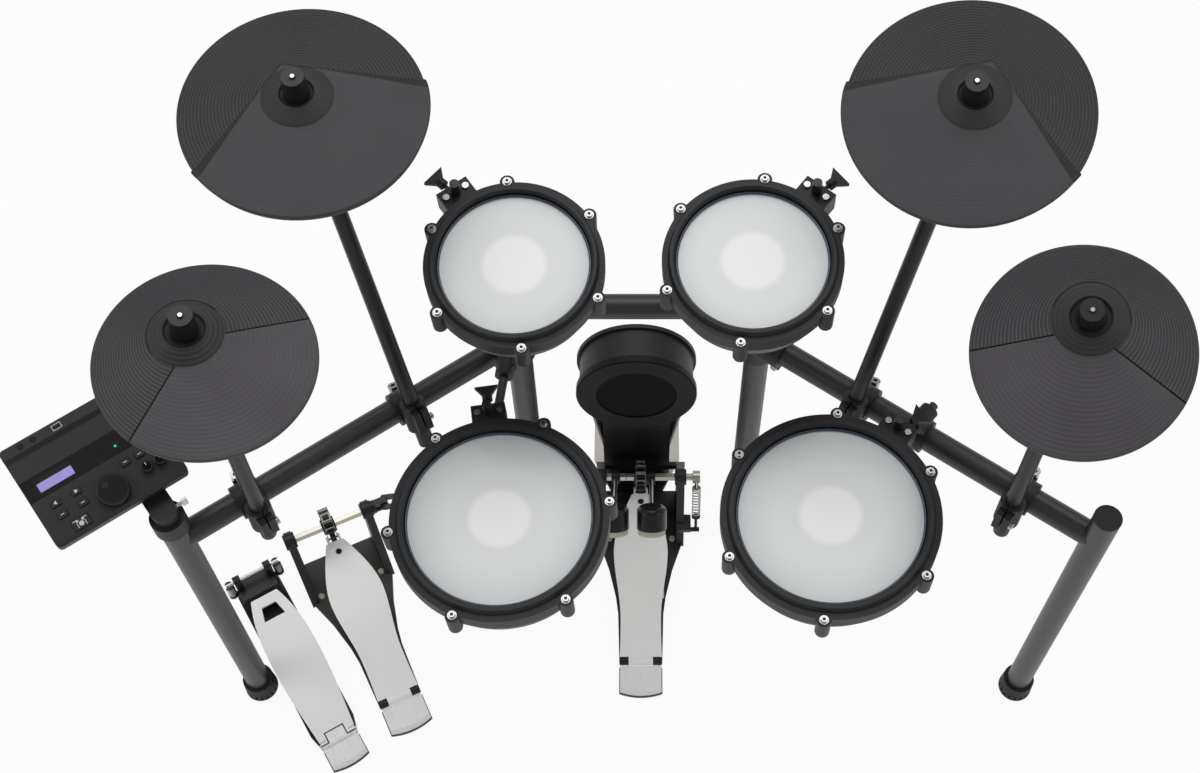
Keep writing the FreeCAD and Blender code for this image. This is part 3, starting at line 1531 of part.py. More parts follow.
def hi_hat_base(pedal):
    """Floor plate, heel plate with hinge, and the tower block with the spring rod at the toe."""
    half = hi_hat_base_width / 2
    wide = hi_hat_frame_width / 2
    wall = hinge_pin_radius + board_thickness / 2
    front = hi_hat_heel_length - wall - moving_gap
    plan = [(-half, front, 0), (half, front, 0), (wide, hi_hat_flare_length, 0)]
    plan += [(wide, hi_hat_base_length, 0), (-wide, hi_hat_base_length, 0), (-wide, hi_hat_flare_length, 0)]
    frame = prism(plan, UP * hi_hat_base_thickness)
    frame = frame.fuse(heel_plate(half, front, front, hi_hat_hinge_height))
    ear_in = board_knuckle_width / 2 + moving_gap
    ear_out = min(half, ear_in + heel_knuckle_width)
    pin = Vec(0, hi_hat_heel_length, hi_hat_hinge_height)
    for x0, x1 in ((-ear_out, -ear_in), (ear_in, ear_out)):
        frame = frame.fuse(block(x0, x1, front, hi_hat_heel_length, 0, hi_hat_hinge_height))
        frame = frame.fuse(rod(wall, pin + RIGHT * x0, pin + RIGHT * x1))
    frame = frame.fuse(rod(hinge_pin_radius, pin - RIGHT * ear_out, pin + RIGHT * ear_out))
    toe_y, toe_z = hi_hat_toe()
    y0 = toe_y + hi_hat_tower_gap
    y1 = y0 + hi_hat_tower_depth
    tower_half = hi_hat_tower_width / 2
    tower = block(-tower_half, tower_half, y0, y1, 0, hi_hat_tower_height)
    rims = [edge for edge in tower.Edges if edge.CenterOfMass.z > hi_hat_tower_height - tube_fit]
    frame = frame.fuse(tower.makeChamfer(hi_hat_base_thickness / 2, rims))
    middle = hi_hat_rod_place()
    crown = Vec(0, middle, hi_hat_rod_height)
    lug_x = tower_half - hi_hat_lug_width
    for x0, x1 in ((-tower_half, -lug_x), (lug_x, tower_half)):
        near = middle - hi_hat_lug_radius
        far = middle + hi_hat_lug_radius
        frame = frame.fuse(block(x0, x1, near, far, hi_hat_tower_height / 2, hi_hat_rod_height))
        frame = frame.fuse(rod(hi_hat_lug_radius, crown + RIGHT * x0, crown + RIGHT * x1))
    reach = RIGHT * (tower_half + hi_hat_rod_overhang)
    frame = frame.fuse(rod(hi_hat_rod_radius, crown - reach, crown + reach))
    for top, foot in hi_hat_spring_pins():
        inner = Vec(top.x / abs(top.x) * lug_x, foot.y, foot.z)
        outer = foot + (foot - inner).normalize() * hi_hat_spring_foot
        frame = frame.fuse(rod(spring_stud_radius, inner, outer))
        frame = frame.fuse(spring_seat(top, hi_hat_rod_radius, foot - top)[0])
        frame = frame.fuse(spring_seat(foot, spring_stud_radius, top - foot)[0])
    return pedal.place(frame.removeSplitter())


def hi_hat_spring_pins():
    """Middles of the rod end above and the stud below each of the two side springs."""
    middle = hi_hat_rod_place()
    out = hi_hat_tower_width / 2 + hi_hat_rod_overhang / 2 + spring_wire
    tops = [Vec(x, middle, hi_hat_rod_height) for x in (-out, out)]
    return [(top, top - UP * hi_hat_spring_drop) for top in tops]


def hi_hat_springs(pedal):
    springs = []
    for top, foot in hi_hat_spring_pins():
        start = spring_seat(foot, spring_stud_radius, top - foot)[1]
        end = spring_seat(top, hi_hat_rod_radius, foot - top)[1]
        coil = coil_spring(spring_radius, spring_wire, hi_hat_spring_turns, start, end)
        springs.append(pedal.place(coil))
    return springs


class Module:
    """Sound module: its own X along the front edge, Y up the panel, Z out of the panel."""

    def __init__(self):
        turn = math.radians(module_turn)
        tilt = math.radians(module_tilt)
        self.along = Vec(math.cos(turn), math.sin(turn), 0)
        level = Vec(-math.sin(turn), math.cos(turn), 0)
        self.upward = level * math.cos(tilt) + UP * math.sin(tilt)
        self.normal = self.along.cross(self.upward)
        self.centre = Vec(module_x, module_y, module_height)

    def place(self, shape):
        return stand(shape, self.centre, self.along, self.normal)

    def point(self, x, y, z):
        return self.centre + self.along * x + self.upward * y + self.normal * z

    def case(self):
        """Wedge-shaped case with a ridge along the back and wells for the controls."""
        half = module_depth / 2
        ridge = half - module_ridge_depth
        crest = module_ridge_rise
        side = [(0, -half, -module_front_thickness), (0, -half, -module_lip), (0, module_lip - half, 0)]
        side += [(0, ridge, 0), (0, ridge + crest, crest), (0, half, crest)]
        side += [(0, half, -module_rear_thickness)]
        body = prism(side, RIGHT * module_width)
        body.translate(RIGHT * (-module_width / 2))
        ends = []
        for edge in body.Edges:
            run = edge.Vertexes[1].Point - edge.Vertexes[0].Point
            if abs(run.x) < tube_fit and abs(run.y) < tube_fit:
                ends.append(edge)
        body = body.makeFillet(module_corner, ends)
        body = body.cut(self.lens(tube_fit, cut_overrun))
        wells = [(dial_x, dial_y, dial_radius)] + [(x, knob_y, knob_radius) for x in knob_x]
        for x, y, radius in wells:
            floor = Vec(x, y, -dial_well_depth)
            body = body.cut(Part.makeCylinder(radius + moving_gap, dial_well_depth + cut_overrun, floor))
        floor = -button_socket - button_travel
        for x, y, width, depth in self.buttons().values():
            wide = width / 2 + moving_gap
            deep = depth / 2 + moving_gap
            body = body.cut(block(x - wide, x + wide, y - deep, y + deep, floor, cut_overrun))
        pivot = self.local_pivot()
        ear_reach = module_barrel_length / 2 + moving_gap
        y0 = pivot.y - module_ear_radius
        y1 = pivot.y + module_ear_radius
        for start in (-ear_reach - module_ear_thickness, ear_reach):
            x0 = pivot.x + start
            x1 = x0 + module_ear_thickness
            ear = block(x0, x1, y0, y1, pivot.z, -module_front_thickness)
            ear = ear.fuse(rod(module_ear_radius, Vec(x0, pivot.y, pivot.z), Vec(x1, pivot.y, pivot.z)))
            body = body.fuse(ear)
        bore = RIGHT * module_width
        body = body.cut(rod(module_pivot_radius + moving_gap, pivot - bore, pivot + bore))
        return self.place(body.removeSplitter())

    def local_pivot(self):
        return Vec(module_pivot_x, -module_pivot_setback, -module_front_thickness - module_pivot_drop)

    def pivot(self):
        return self.point(*self.local_pivot())

    def buttons(self):
        """Name of each button with its place and size on the panel."""
        table = {}
        for column, x in zip(("left", "right"), cursor_x):
            for row, y in zip(("lower", "upper"), cursor_y):
                table["%s_%s_button" % (row, column)] = (x, y, button_size, button_depth)
        table["kit_button"] = (kit_button_x, kit_button_y, kit_button_size, kit_button_depth)
        for number, x in zip(("first", "second"), upper_button_x):
            table["%s_select_button" % number] = (x, upper_button_y, button_size, button_depth)
        return table

    def button(self, x, y, width, depth):
        wide = width / 2
        deep = depth / 2
        top = button_height - button_travel
        cap = block(x - wide, x + wide, y - deep, y + deep, -button_socket, top)
        rims = [edge for edge in cap.Edges if edge.CenterOfMass.z > top - tube_fit]
        return self.place(cap.makeChamfer(button_travel / 2, rims))

    def turning_knob(self, x, y, radius, height):
        profile = [(0, moving_gap - dial_well_depth), (radius, moving_gap - dial_well_depth)]
        profile += [(radius, height - button_travel), (radius - button_travel, height), (0, height)]
        knob = turned(profile)
        knob.translate(Vec(x, y, 0))
        return self.place(knob)

    def lens(self, margin, top):
        """Screen's block, made larger all round by a margin where the case makes room for it."""
        wide = screen_width / 2 + margin
        deep = screen_depth / 2 + margin
        low = -screen_thickness
        return block(screen_x - wide, screen_x + wide, screen_y - deep, screen_y + deep, low, top)

    def screen(self):
        return self.place(self.lens(0, 0))

    def holder(self):
        """Cap clamp over the left post, with a neck and a flat arm that carry the module's pivot pin."""
        post = front_leg_foot(-1)
        top = post + UP * (post_height + tube_fit)
        roof = top + UP * module_clamp_wall
        low = top - UP * module_clamp_height
        body = rod(leg_radius + module_clamp_wall, low, roof)
        body = body.cut(rod(leg_radius + tube_fit, low - UP * cut_overrun, top))
        anchor = self.pivot()
        arm_radius = module_ear_radius - moving_gap
        neck_top = Vec(post.x, post.y, anchor.z)
        body = body.fuse(rod(module_neck_radius, top, neck_top + UP * module_ear_radius))
        reach = anchor - neck_top
        wide = module_arm_width / 2
        arm = block(0, reach.Length, -wide, wide, -arm_radius, arm_radius)
        body = body.fuse(stand(arm, neck_top, Vec(reach).normalize(), UP))
        half = self.along * (module_barrel_length / 2)
        body = body.fuse(rod(module_barrel_radius, anchor - half, anchor + half))
        pin = half + self.along * (module_ear_thickness + moving_gap)
        body = body.fuse(rod(module_pivot_radius, anchor - pin, anchor + pin))
        return body.removeSplitter()

    def holder_screw(self):
        """Thumb screw in the side of the holder's neck."""
        start = module_neck_radius
        end = start + thumb_screw_length
        screw = rod(thumb_screw_radius, RIGHT * start, RIGHT * end)
        half = thumb_wing_span / 2
        thin = thumb_wing_thickness / 2
        screw = screw.fuse(block(end, end + thumb_wing_height, -thin, thin, -half, half))
        middle = front_leg_foot(-1) + UP * self.pivot().z
        return stand(screw, middle, self.along, UP)


parts = {}


def keep(name, shape):
    """File a solid, or a list of separate solids, under its node's name."""
    parts[name] = Part.makeCompound(shape) if isinstance(shape, list) else shape


keep("left_side_frame", side_frame(-1))
keep("right_side_frame", side_frame(1))
keep("rear_legs", [rear_leg(-1), rear_leg(1)])
keep("rear_crossbar", crossbar())
feet = [front_leg_foot(-1), front_leg_foot(1), rear_leg_foot(-1), rear_leg_foot(1)]
keep("rubber_feet", [rubber_foot(place) for place in feet] + [post_cap(-1), post_cap(1)])

castings = []
bolts = []
for side in (-1, 1):
    casting, casting_bolts = corner_casting(side)
    castings.append(casting)
    bolts += casting_bolts
keep("corner_joints", castings)

cymbals = {
    "hi_hat": Cymbal(-1, hi_hat_place, hi_hat_lean, hi_hat_sway, hi_hat_reach, hi_hat_pitch, hi_hat_roll,
                     small_cymbal_diameter, hi_hat_front),
    "ride": Cymbal(1, ride_place, ride_lean, ride_sway, ride_reach, ride_pitch, ride_roll,
                   small_cymbal_diameter, ride_front),
    "left_crash": Cymbal(-1, left_crash_place, left_crash_lean, left_crash_sway, left_crash_reach,
                         left_crash_pitch, left_crash_roll, large_cymbal_diameter, left_crash_front),
    "right_crash": Cymbal(1, right_crash_place, right_crash_lean, right_crash_sway, right_crash_reach,
                          right_crash_pitch, right_crash_roll, large_cymbal_diameter, right_crash_front),
}
sectors = {"hi_hat": hi_hat_sector, "ride": ride_sector}
clamps = []
for name, cymbal in cymbals.items():
    keep(name + "_arm", cymbal.arm())
    if name in sectors:
        keep(name + "_pad", small_cymbal(cymbal, sectors[name]))
    else:
        keep(name + "_pad", large_cymbal(cymbal))
    clamps.append(cymbal.clamp())
    bolts += cymbal.clamp_bolts()

drum_pads = {
    "snare": DrumPad(Vec(snare_x, snare_y, snare_height), snare_pitch, snare_roll, large_head_diameter,
                     large_rim_width, snare_lug_turn, snare_bracket_turn, snare_wing_turn),
    "floor_tom": DrumPad(Vec(floor_tom_x, floor_tom_y, floor_tom_height), floor_tom_pitch, floor_tom_roll,
                         large_head_diameter, large_rim_width, floor_tom_lug_turn, floor_tom_bracket_turn,
                         floor_tom_wing_turn),
    "left_tom": DrumPad(Vec(left_tom_x, left_tom_y, left_tom_height), left_tom_pitch, left_tom_roll,
                        small_head_diameter, small_rim_width, left_tom_lug_turn, left_tom_bracket_turn,
                        left_tom_wing_turn),
    "right_tom": DrumPad(Vec(right_tom_x, right_tom_y, right_tom_height), right_tom_pitch, right_tom_roll,
                         small_head_diameter, small_rim_width, right_tom_lug_turn, right_tom_bracket_turn,
                         right_tom_wing_turn),
}
for name, pad in drum_pads.items():
    keep(name + "_shell", pad.shell())
    keep(name + "_hoop", pad.hoop_ring())
    keep(name + "_head", pad.mesh_head())
    keep(name + "_bolts", pad.bolts())

web = Vec(-rail_rear_spread / 2, rail_rear_setback, snare_holder_height)
bar_middle = Vec(0, rail_rear_setback, crossbar_height)
floor_spot = rail_point(1, floor_holder_place)
floor_sleeve = floor_spot + UP * holder_rod_rise
holders = {
    "snare": (web, UP, casting_web_radius, snare_holder_ring_height,
              Vec(snare_holder_x, snare_holder_y, snare_holder_height)),
    "floor_tom": (floor_spot, rail_direction(1), rail_radius, holder_width, floor_sleeve),
}
for step, name in ((-1, "left_tom"), (1, "right_tom")):
    spot = bar_middle + RIGHT * (step * tom_holder_spread / 2)
    holders[name] = (spot, RIGHT, rail_radius, holder_width, spot + UP * holder_rod_rise)
pad_rods = []
for name, holder in holders.items():
    bar, casting = pad_rod_and_holder(drum_pads[name], *holder)
    pad_rods.append(bar)
    clamps.append(casting)
keep("pad_rods", pad_rods)

module = Module()
clamps.append(module.holder())
bolts.append(module.holder_screw())
keep("rail_clamps", clamps)
keep("clamp_bolts", bolts)
keep("module_case", module.case())
keep("module_screen", module.screen())
keep("module_dial", module.turning_knob(dial_x, dial_y, dial_radius, dial_height))
for number, x in zip(("first", "second"), knob_x):
    keep(number + "_volume_knob", module.turning_knob(x, knob_y, knob_radius, knob_height))
for name, outline in module.buttons().items():
    keep(name, module.button(*outline))

keep("kick_housing", kick_housing())
keep("kick_face", kick_face())
keep("kick_tower", kick_tower())

kick_pedal = Pedal(kick_pedal_x, kick_pedal_y, 0)
remote_pedal = Pedal(remote_pedal_x, remote_pedal_y, remote_pedal_turn)
hi_hat_pedal = hi_hat_pedal_axes()
drive = DriveShaft(remote_pedal, kick_pedal)
keep("kick_pedal_base", kick_pedal.place(bass_base(True).fuse([spring_anchor(-1), spring_anchor(1)])))
keep("remote_pedal_base", remote_pedal.place(bass_base(False)))
keep("kick_pedal_board", bass_board(kick_pedal))
keep("remote_pedal_board", bass_board(remote_pedal))
keep("kick_pedal_axle", kick_axle(kick_pedal))
keep("left_beater", left_beater(kick_pedal, drive))
keep("remote_pedal_axle", remote_axle(remote_pedal, drive))
keep("drive_shaft", drive.body())
keep("pedal_chains", chain_links(kick_pedal) + chain_links(remote_pedal))
springs = hi_hat_springs(hi_hat_pedal)
for step in (-1, 1):
    springs.append(kick_pedal.place(return_spring(step)))
keep("pedal_springs", springs)
keep("hi_hat_pedal_base", hi_hat_base(hi_hat_pedal))
keep("hi_hat_pedal_board", hi_hat_board(hi_hat_pedal))

whole = Part.makeCompound(list(parts.values())).optimalBoundingBox(False, False)
shift = Vec(-whole.Center.x, -whole.Center.y, -whole.ZMin)
for name, shape in parts.items():
    shape.translate(shift)
    shape.exportStep("parts/%s.step" % name)
print("kit %.0f x %.0f x %.0f mm, %d nodes" % (whole.XLength, whole.YLength, whole.ZLength, len(parts)))
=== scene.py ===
# %% [markdown]
# An electronic drum kit on a tube rack, dressed for the camera.
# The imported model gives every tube, clamp, rod, pedal and pad its place. This lesson makes anew the pieces
# whose charm is in their surface, grooved rubber cymbals and stretched mesh heads, and gives the others
# their finishes: felt beaters, brushed footboards, the front panel of the sound module.

# %% Load the frame
import json
import math

import bpy
import numpy as np
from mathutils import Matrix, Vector


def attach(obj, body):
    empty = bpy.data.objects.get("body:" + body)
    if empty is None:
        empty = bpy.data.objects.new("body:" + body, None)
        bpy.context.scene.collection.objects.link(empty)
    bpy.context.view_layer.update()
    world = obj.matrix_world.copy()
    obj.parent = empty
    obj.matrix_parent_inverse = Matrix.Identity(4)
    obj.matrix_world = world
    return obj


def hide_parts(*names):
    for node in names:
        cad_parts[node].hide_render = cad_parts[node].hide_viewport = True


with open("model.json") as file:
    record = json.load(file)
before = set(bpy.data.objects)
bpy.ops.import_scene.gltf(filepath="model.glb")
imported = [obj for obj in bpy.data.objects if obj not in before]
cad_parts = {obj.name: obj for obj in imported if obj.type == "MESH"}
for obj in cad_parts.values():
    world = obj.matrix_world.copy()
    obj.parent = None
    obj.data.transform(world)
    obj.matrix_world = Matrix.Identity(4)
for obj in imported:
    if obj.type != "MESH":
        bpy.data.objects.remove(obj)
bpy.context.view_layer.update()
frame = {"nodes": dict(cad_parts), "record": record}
nodes = frame["nodes"]
mm = 0.001

# %% [markdown]
# The photograph was taken from above the drum stool, with a long lens that is almost level from left to
# right. The camera below stands where lines fitted to the rack tubes meet.

# %% Camera
photo_width, photo_shift = 1200, -40
looks_down = 59.578
camera = bpy.data.cameras.new("camera")
camera.sensor_width = 36.0
camera.lens = 49.5
camera.shift_x = photo_shift / photo_width
camera.clip_end = 30.0
camera_object = bpy.data.objects.new("camera", camera)
camera_object.location = (0.09198, -1.17726, 2.591)
camera_object.rotation_euler = (math.radians(90 - looks_down), 0, 0)
bpy.context.scene.collection.objects.link(camera_object)
bpy.context.scene.camera = camera_object
bpy.context.scene.view_settings.view_transform = "Standard"
print("camera: lens", camera.lens, "mm")

# %% [markdown]
# A material is a small graph of nodes. A few helpers keep that graph readable: one starts a material with its
# shader, one adds a node and fills its sockets, linking where it is handed another node's output, and the
# rest each add one kind of node.

# %% Material helpers
noise_low, noise_high = 0.3, 0.7


def start_finish(name):
    """A new material with one Principled shader: returns the material, its node tree and the shader."""
    made = bpy.data.materials.new(name)
    made.use_nodes = True
    tree = made.node_tree
    tree.nodes.clear()
    output = tree.nodes.new("ShaderNodeOutputMaterial")
    shader = tree.nodes.new("ShaderNodeBsdfPrincipled")
    tree.links.new(shader.outputs[0], output.inputs["Surface"])
    return made, tree, shader


def fill(tree, socket, value):
    """Links a socket to another node's output, or sets its value."""
    if isinstance(value, bpy.types.NodeSocket):
        tree.links.new(value, socket)
    else:
        socket.default_value = value


def add(tree, kind, inputs=None, **settings):
    """A node of the given kind; a socket among the inputs is linked, any other value is set."""
    made = tree.nodes.new(kind)
    for key, value in settings.items():
        setattr(made, key, value)
    for key, value in (inputs or {}).items():
        fill(tree, made.inputs[key], value)
    return made


def maths(tree, operation, first, second=0.0, clamp=False):
    """One sum on two numbers, either of which may be a socket."""
    return add(tree, "ShaderNodeMath", {0: first, 1: second}, operation=operation, use_clamp=clamp).outputs[0]


def vector_maths(tree, operation, inputs, output="Vector"):
    """One sum on vectors, whose answer is a vector or a value."""
    return add(tree, "ShaderNodeVectorMath", inputs, operation=operation).outputs[output]


def blend_numbers(tree, share, first, second):
    """first where share is 0, second where it is 1."""
    return add(tree, "ShaderNodeMix", {0: share, 2: first, 3: second}, data_type="FLOAT").outputs[0]


def blend_colours(tree, share, first, second):
    """The same for colours, each a socket or three numbers."""
    made = add(tree, "ShaderNodeMix", {0: share}, data_type="RGBA")
    for index, colour in ((6, first), (7, second)):
        fill(tree, made.inputs[index], colour if isinstance(colour, bpy.types.NodeSocket) else (*colour, 1.0))
    return made.outputs[2]


def carry(tree, value, start, end, low, high, **settings):
    """Carries start..end to low..high, and holds it there outside."""
    ends = {0: value, 1: start, 2: end, 3: low, 4: high}
    return add(tree, "ShaderNodeMapRange", ends, **settings).outputs[0]


def spread(tree, value, low, high):
    """Carries a noise from its usual range to low..high."""
    return carry(tree, value, noise_low, noise_high, low, high)


def object_coords(tree):
    return add(tree, "ShaderNodeTexCoord").outputs["Object"]


def surface_coords(tree):
    """The two numbers (u, v) that a new piece carries at each point."""
    surface = add(tree, "ShaderNodeTexCoord").outputs["UV"]
    return add(tree, "ShaderNodeSeparateXYZ", {0: surface}).outputs[:2]


def noise(tree, coords, scale, detail=4.0):
    """Smooth noise with scale bumps to a metre."""
    inputs = {"Vector": coords, "Scale": scale, "Detail": detail, "Roughness": 0.55}
    return add(tree, "ShaderNodeTexNoise", inputs).outputs[0]


def mottling(tree, coords):
    """Slow noise, in patches the size of a hand."""
    return noise(tree, coords, 14.0, 3.0)


def streaks(tree, coords, turn):
    """Noise over coordinates turned about Z, then stretched, so that it becomes brush marks."""
    turned = add(tree, "ShaderNodeMapping", {"Vector": coords, "Rotation": (0, 0, turn)}).outputs[0]
    stretched = add(tree, "ShaderNodeMapping", {"Vector": turned, "Scale": (2400, 30, 600)}).outputs[0]
    return noise(tree, stretched, 1.0, 3.0)


def bump(tree, shader, height, strength, distance):
    """Tilts the shader's normal by the slope of height."""
    made = add(tree, "ShaderNodeBump", {"Height": height, "Strength": strength, "Distance": distance})
    tree.links.new(made.outputs[0], shader.inputs["Normal"])


def overlap(tree, coords, shares):
    """Share 1 where every one of the shares is 1."""
    mask = 1.0
    for share in shares:
        mask = maths(tree, "MULTIPLY", share(tree, coords), mask)
    return mask


def dress(name, material):
    """Gives a node its own material."""
    shown = nodes[name].data.materials
    shown.clear()
    shown.append(material)


# %% [markdown]
# Each gets a fine grain of its own size, a slow mottling of its colour and a roughness that wanders a
# little, which is what tells the eye paint from rubber.

# %% Moulded and painted finishes
seam_colour = (0.006, 0.006, 0.006)
bronze_colour = (0.030, 0.027, 0.025)


def grained(name, colour, roughness, grain, depth, mottle=0.16, metallic=0.0, coat=0.0, specular=0.5):
    """colour(p) = c (1 - m + 2 m n(p)) with a slow noise n, height(p) = fine noise(p)."""
    made, tree, shader = start_finish(name)
    coords = object_coords(tree)
    slow = mottling(tree, coords)
    fine = noise(tree, coords, grain, 2.0)
    dark = tuple(c * (1 - mottle) for c in colour)
    pale = tuple(c * (1 + mottle) for c in colour)
    fill(tree, shader.inputs["Base Color"], blend_colours(tree, spread(tree, slow, 0, 1), dark, pale))
    fill(tree, shader.inputs["Roughness"], spread(tree, fine, roughness - 0.05, roughness + 0.05))
    shader.inputs["Metallic"].default_value = metallic
    shader.inputs["Coat Weight"].default_value = coat
    shader.inputs["Specular IOR Level"].default_value = specular
    bump(tree, shader, fine, 0.35, depth)
    return made


def brushed(name, colour, roughness, turn, contrast, seams):
    """Streaks n(x / fine, y / long) along one direction, in colour, roughness and height, with dark seams."""
    made, tree, shader = start_finish(name)
    coords = object_coords(tree)
    streak = streaks(tree, coords, turn)
    cloud = noise(tree, coords, 9.0, 2.0)
    dark = tuple(c * (1 - contrast) for c in colour)
    pale = tuple(min(1.0, c * (1 + contrast)) for c in colour)
    both = maths(tree, "ADD", maths(tree, "MULTIPLY", streak, 0.7), maths(tree, "MULTIPLY", cloud, 0.3))
    shown = blend_colours(tree, spread(tree, both, 0, 1), dark, pale)
    for shares in seams:
        shown = blend_colours(tree, overlap(tree, coords, shares), shown, seam_colour)
    fill(tree, shader.inputs["Base Color"], shown)
    fill(tree, shader.inputs["Roughness"], spread(tree, streak, roughness - 0.07, roughness + 0.07))
    shader.inputs["Anisotropic"].default_value = 0.5
    bump(tree, shader, streak, 0.12, 0.0002)
    return made


finishes = {
    "tube_black": grained("powder_coated_tube", (0.027, 0.026, 0.026), 0.40, 1500, 0.0002),
    "casting_black": grained("blasted_casting", (0.014, 0.014, 0.015), 0.55, 700, 0.0004, specular=0.4),
    "rubber_black": grained("soft_rubber", (0.014, 0.013, 0.014), 0.66, 900, 0.0003, specular=0.35),
    "bright_screw": grained("bright_screw", (0.46, 0.46, 0.47), 0.28, 600, 0.00005, 0.05, metallic=1.0),
    "rod_bronze": grained("anodised_rod", bronze_colour, 0.36, 1800, 0.0001, metallic=0.25),
    "pad_shell": grained("moulded_shell", (0.012, 0.012, 0.013), 0.5, 800, 0.0003, specular=0.36),
    "hoop_rubber": grained("moulded_hoop", (0.015, 0.014, 0.016), 0.5, 1000, 0.0003, specular=0.32),
    "chain_steel": grained("oiled_chain", (0.26, 0.25, 0.24), 0.34, 900, 0.0001, metallic=1.0),
    "spring_zinc": grained("zinc_wire", (0.50, 0.51, 0.53), 0.32, 900, 0.0001, metallic=0.9),
}
for entry in frame["record"]["subparts"]:
    if entry["material_slot"] in finishes:
        dress(entry["node"], finishes[entry["material_slot"]])
print("finishes:", len(finishes))

# %% [markdown]
# Some solids carry more than one finish: a black pedal frame has a bare heel plate, a beater a felt face.

# %% Finishes that change with the place
up = np.array([0.0, 0.0, 1.0])


def past(spot, way):
    """Share 1 where (p - spot) . way > 0, on one side of a plane."""

    def share(tree, coords):
        height = vector_maths(tree, "DOT_PRODUCT", {0: coords, 1: tuple(way)}, "Value")
        return maths(tree, "GREATER_THAN", height, float(np.dot(spot, way)))

    return share


def slab(spot, way, half):
    """The two planes that bound |(p - spot) . way| < half."""
    return [past(spot - half * way, way), past(spot + half * way, -way)]


def near_axis(spot, axis, radius):
    """Share 1 where |(p - spot) x axis| < radius, inside a cylinder."""

    def share(tree, coords):
        away = vector_maths(tree, "SUBTRACT", {0: coords, 1: tuple(spot)})
        across = vector_maths(tree, "CROSS_PRODUCT", {0: away, 1: tuple(axis)})
        length = vector_maths(tree, "LENGTH", {0: across}, "Value")
        return maths(tree, "LESS_THAN", length, radius)

    return share


def patched(name, ground, patches, grain=900, depth=0.0002, turn=None, specular=0.4):
    """Finishes are (colour, roughness, metallic); a patch lies where its shares are all 1, later on top."""
    made, tree, shader = start_finish(name)
    coords = object_coords(tree)
    fine = noise(tree, coords, grain, 2.0)
    slow = mottling(tree, coords) if turn is None else streaks(tree, coords, turn)
    colour, roughness, metallic = ground
    for shares, (patch_colour, patch_roughness, patch_metallic) in patches:
        mask = overlap(tree, coords, shares)
        colour = blend_colours(tree, mask, colour, patch_colour)
        roughness = blend_numbers(tree, mask, roughness, patch_roughness)
        metallic = blend_numbers(tree, mask, metallic, patch_metallic)
    shade = spread(tree, slow, 0.88, 1.12)
    rough = maths(tree, "ADD", roughness, spread(tree, fine, -0.05, 0.05), True)
    fill(tree, shader.inputs["Base Color"], vector_maths(tree, "SCALE", {0: colour, "Scale": shade}))
    fill(tree, shader.inputs["Roughness"], rough)
    fill(tree, shader.inputs["Metallic"], metallic)
    shader.inputs["Specular IOR Level"].default_value = specular
    bump(tree, shader, fine, 0.3, depth)
    return made


# %% [markdown]
# A new piece is a grid of points worked out as one array. Rows of the grid run along a profile, columns run
# round it, and the faces are found by index arithmetic, so no loop ever visits a single vertex.

# %% Surface helpers
def make_piece(name, grid, body, material, wrap_rows=False, uv=None, replaces=None, smooth=True):
    """Faces (i, j), (i, j+1), (i+1, j+1), (i+1, j) over a grid with closed rings, or a stack of them."""
    copies = 1 if grid.ndim == 3 else grid.shape[0]
    rows, columns = grid.shape[-3:-1]
    i, j = np.meshgrid(np.arange(rows if wrap_rows else rows - 1), np.arange(columns), indexing="ij")
    next_i, next_j = (i + 1) % rows, (j + 1) % columns
    ring = ((i, j), (i, next_j), (next_i, next_j), (next_i, j))
    corners = np.stack([row * columns + column for row, column in ring], -1)
    first = np.arange(copies)[:, None, None] * rows * columns
    faces = (corners.reshape(1, -1, 4) + first).reshape(-1, 4)
    mesh = bpy.data.meshes.new(name)
    mesh.vertices.add(copies * rows * columns)
    mesh.vertices.foreach_set("co", grid.reshape(-1).astype(np.float32))
    mesh.loops.add(faces.size)
    mesh.loops.foreach_set("vertex_index", faces.reshape(-1).astype(np.int32))
    mesh.polygons.add(len(faces))
    mesh.polygons.foreach_set("loop_start", np.arange(0, faces.size, 4, dtype=np.int32))
    mesh.polygons.foreach_set("use_smooth", np.full(len(faces), smooth))
    mesh.update(calc_edges=True)
    if uv is not None:
        layer = mesh.uv_layers.new(name="surface")
        layer.data.foreach_set("uv", uv.reshape(-1, 2)[faces.reshape(-1)].reshape(-1).astype(np.float32))
    mesh.validate()
    mesh.materials.append(material)
    made = bpy.data.objects.new(name, mesh)
    bpy.context.scene.collection.objects.link(made)
    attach(made, body)
    if replaces:
        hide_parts(replaces)
    return made


def stand(local, centre, along, normal):
    """p = c + x a + y (n x a) + z n, for points given in millimetres in a piece's own axes."""
    along, normal = np.array(along), np.array(normal)
    axes = np.stack([along, np.cross(normal, along), normal])
    return np.array(centre) + local * mm @ axes


# %% [markdown]
# The cymbals are moulded rubber over a steel core. Each is a family of circles whose centres slide from the
# bell to the rim, because the bell sits off the middle. The same family gives the fine grooves: their spacing
# is wide towards the player and close behind. On the large pads a fan in front of the bell rises to the rim
# between two straight bevels; on the small pads two slits, painted nearly black as painted shade, set off the
# playing half. Both edges are straight lines across the circles, so the columns of the grid are drawn to the
# points where each circle meets them.

cymbals = {
    "hi_hat": (
        (-0.43245, -0.1629, 0.9723), (0.99490, 0.00546, -0.10076), (0.10091, -0.05380, 0.99344), -47.6,
    ),
    "ride": (
        (0.61285, -0.1461, 0.9829), (0.97782, -0.06507, 0.19909), (-0.20946, -0.30379, 0.92943), -107.0,
    ),
    "left_crash": (
        (-0.32575, 0.1453, 1.0245), (0.99913, 0.00428, -0.04143), (0.04165, -0.10270, 0.99384), -62.7,
    ),
    "right_crash": (
        (0.49885, 0.1382, 1.0340), (0.99208, -0.02804, 0.12243), (-0.12560, -0.22148, 0.96704), -117.3,
    ),
}
small_cymbals = ("hi_hat", "ride")
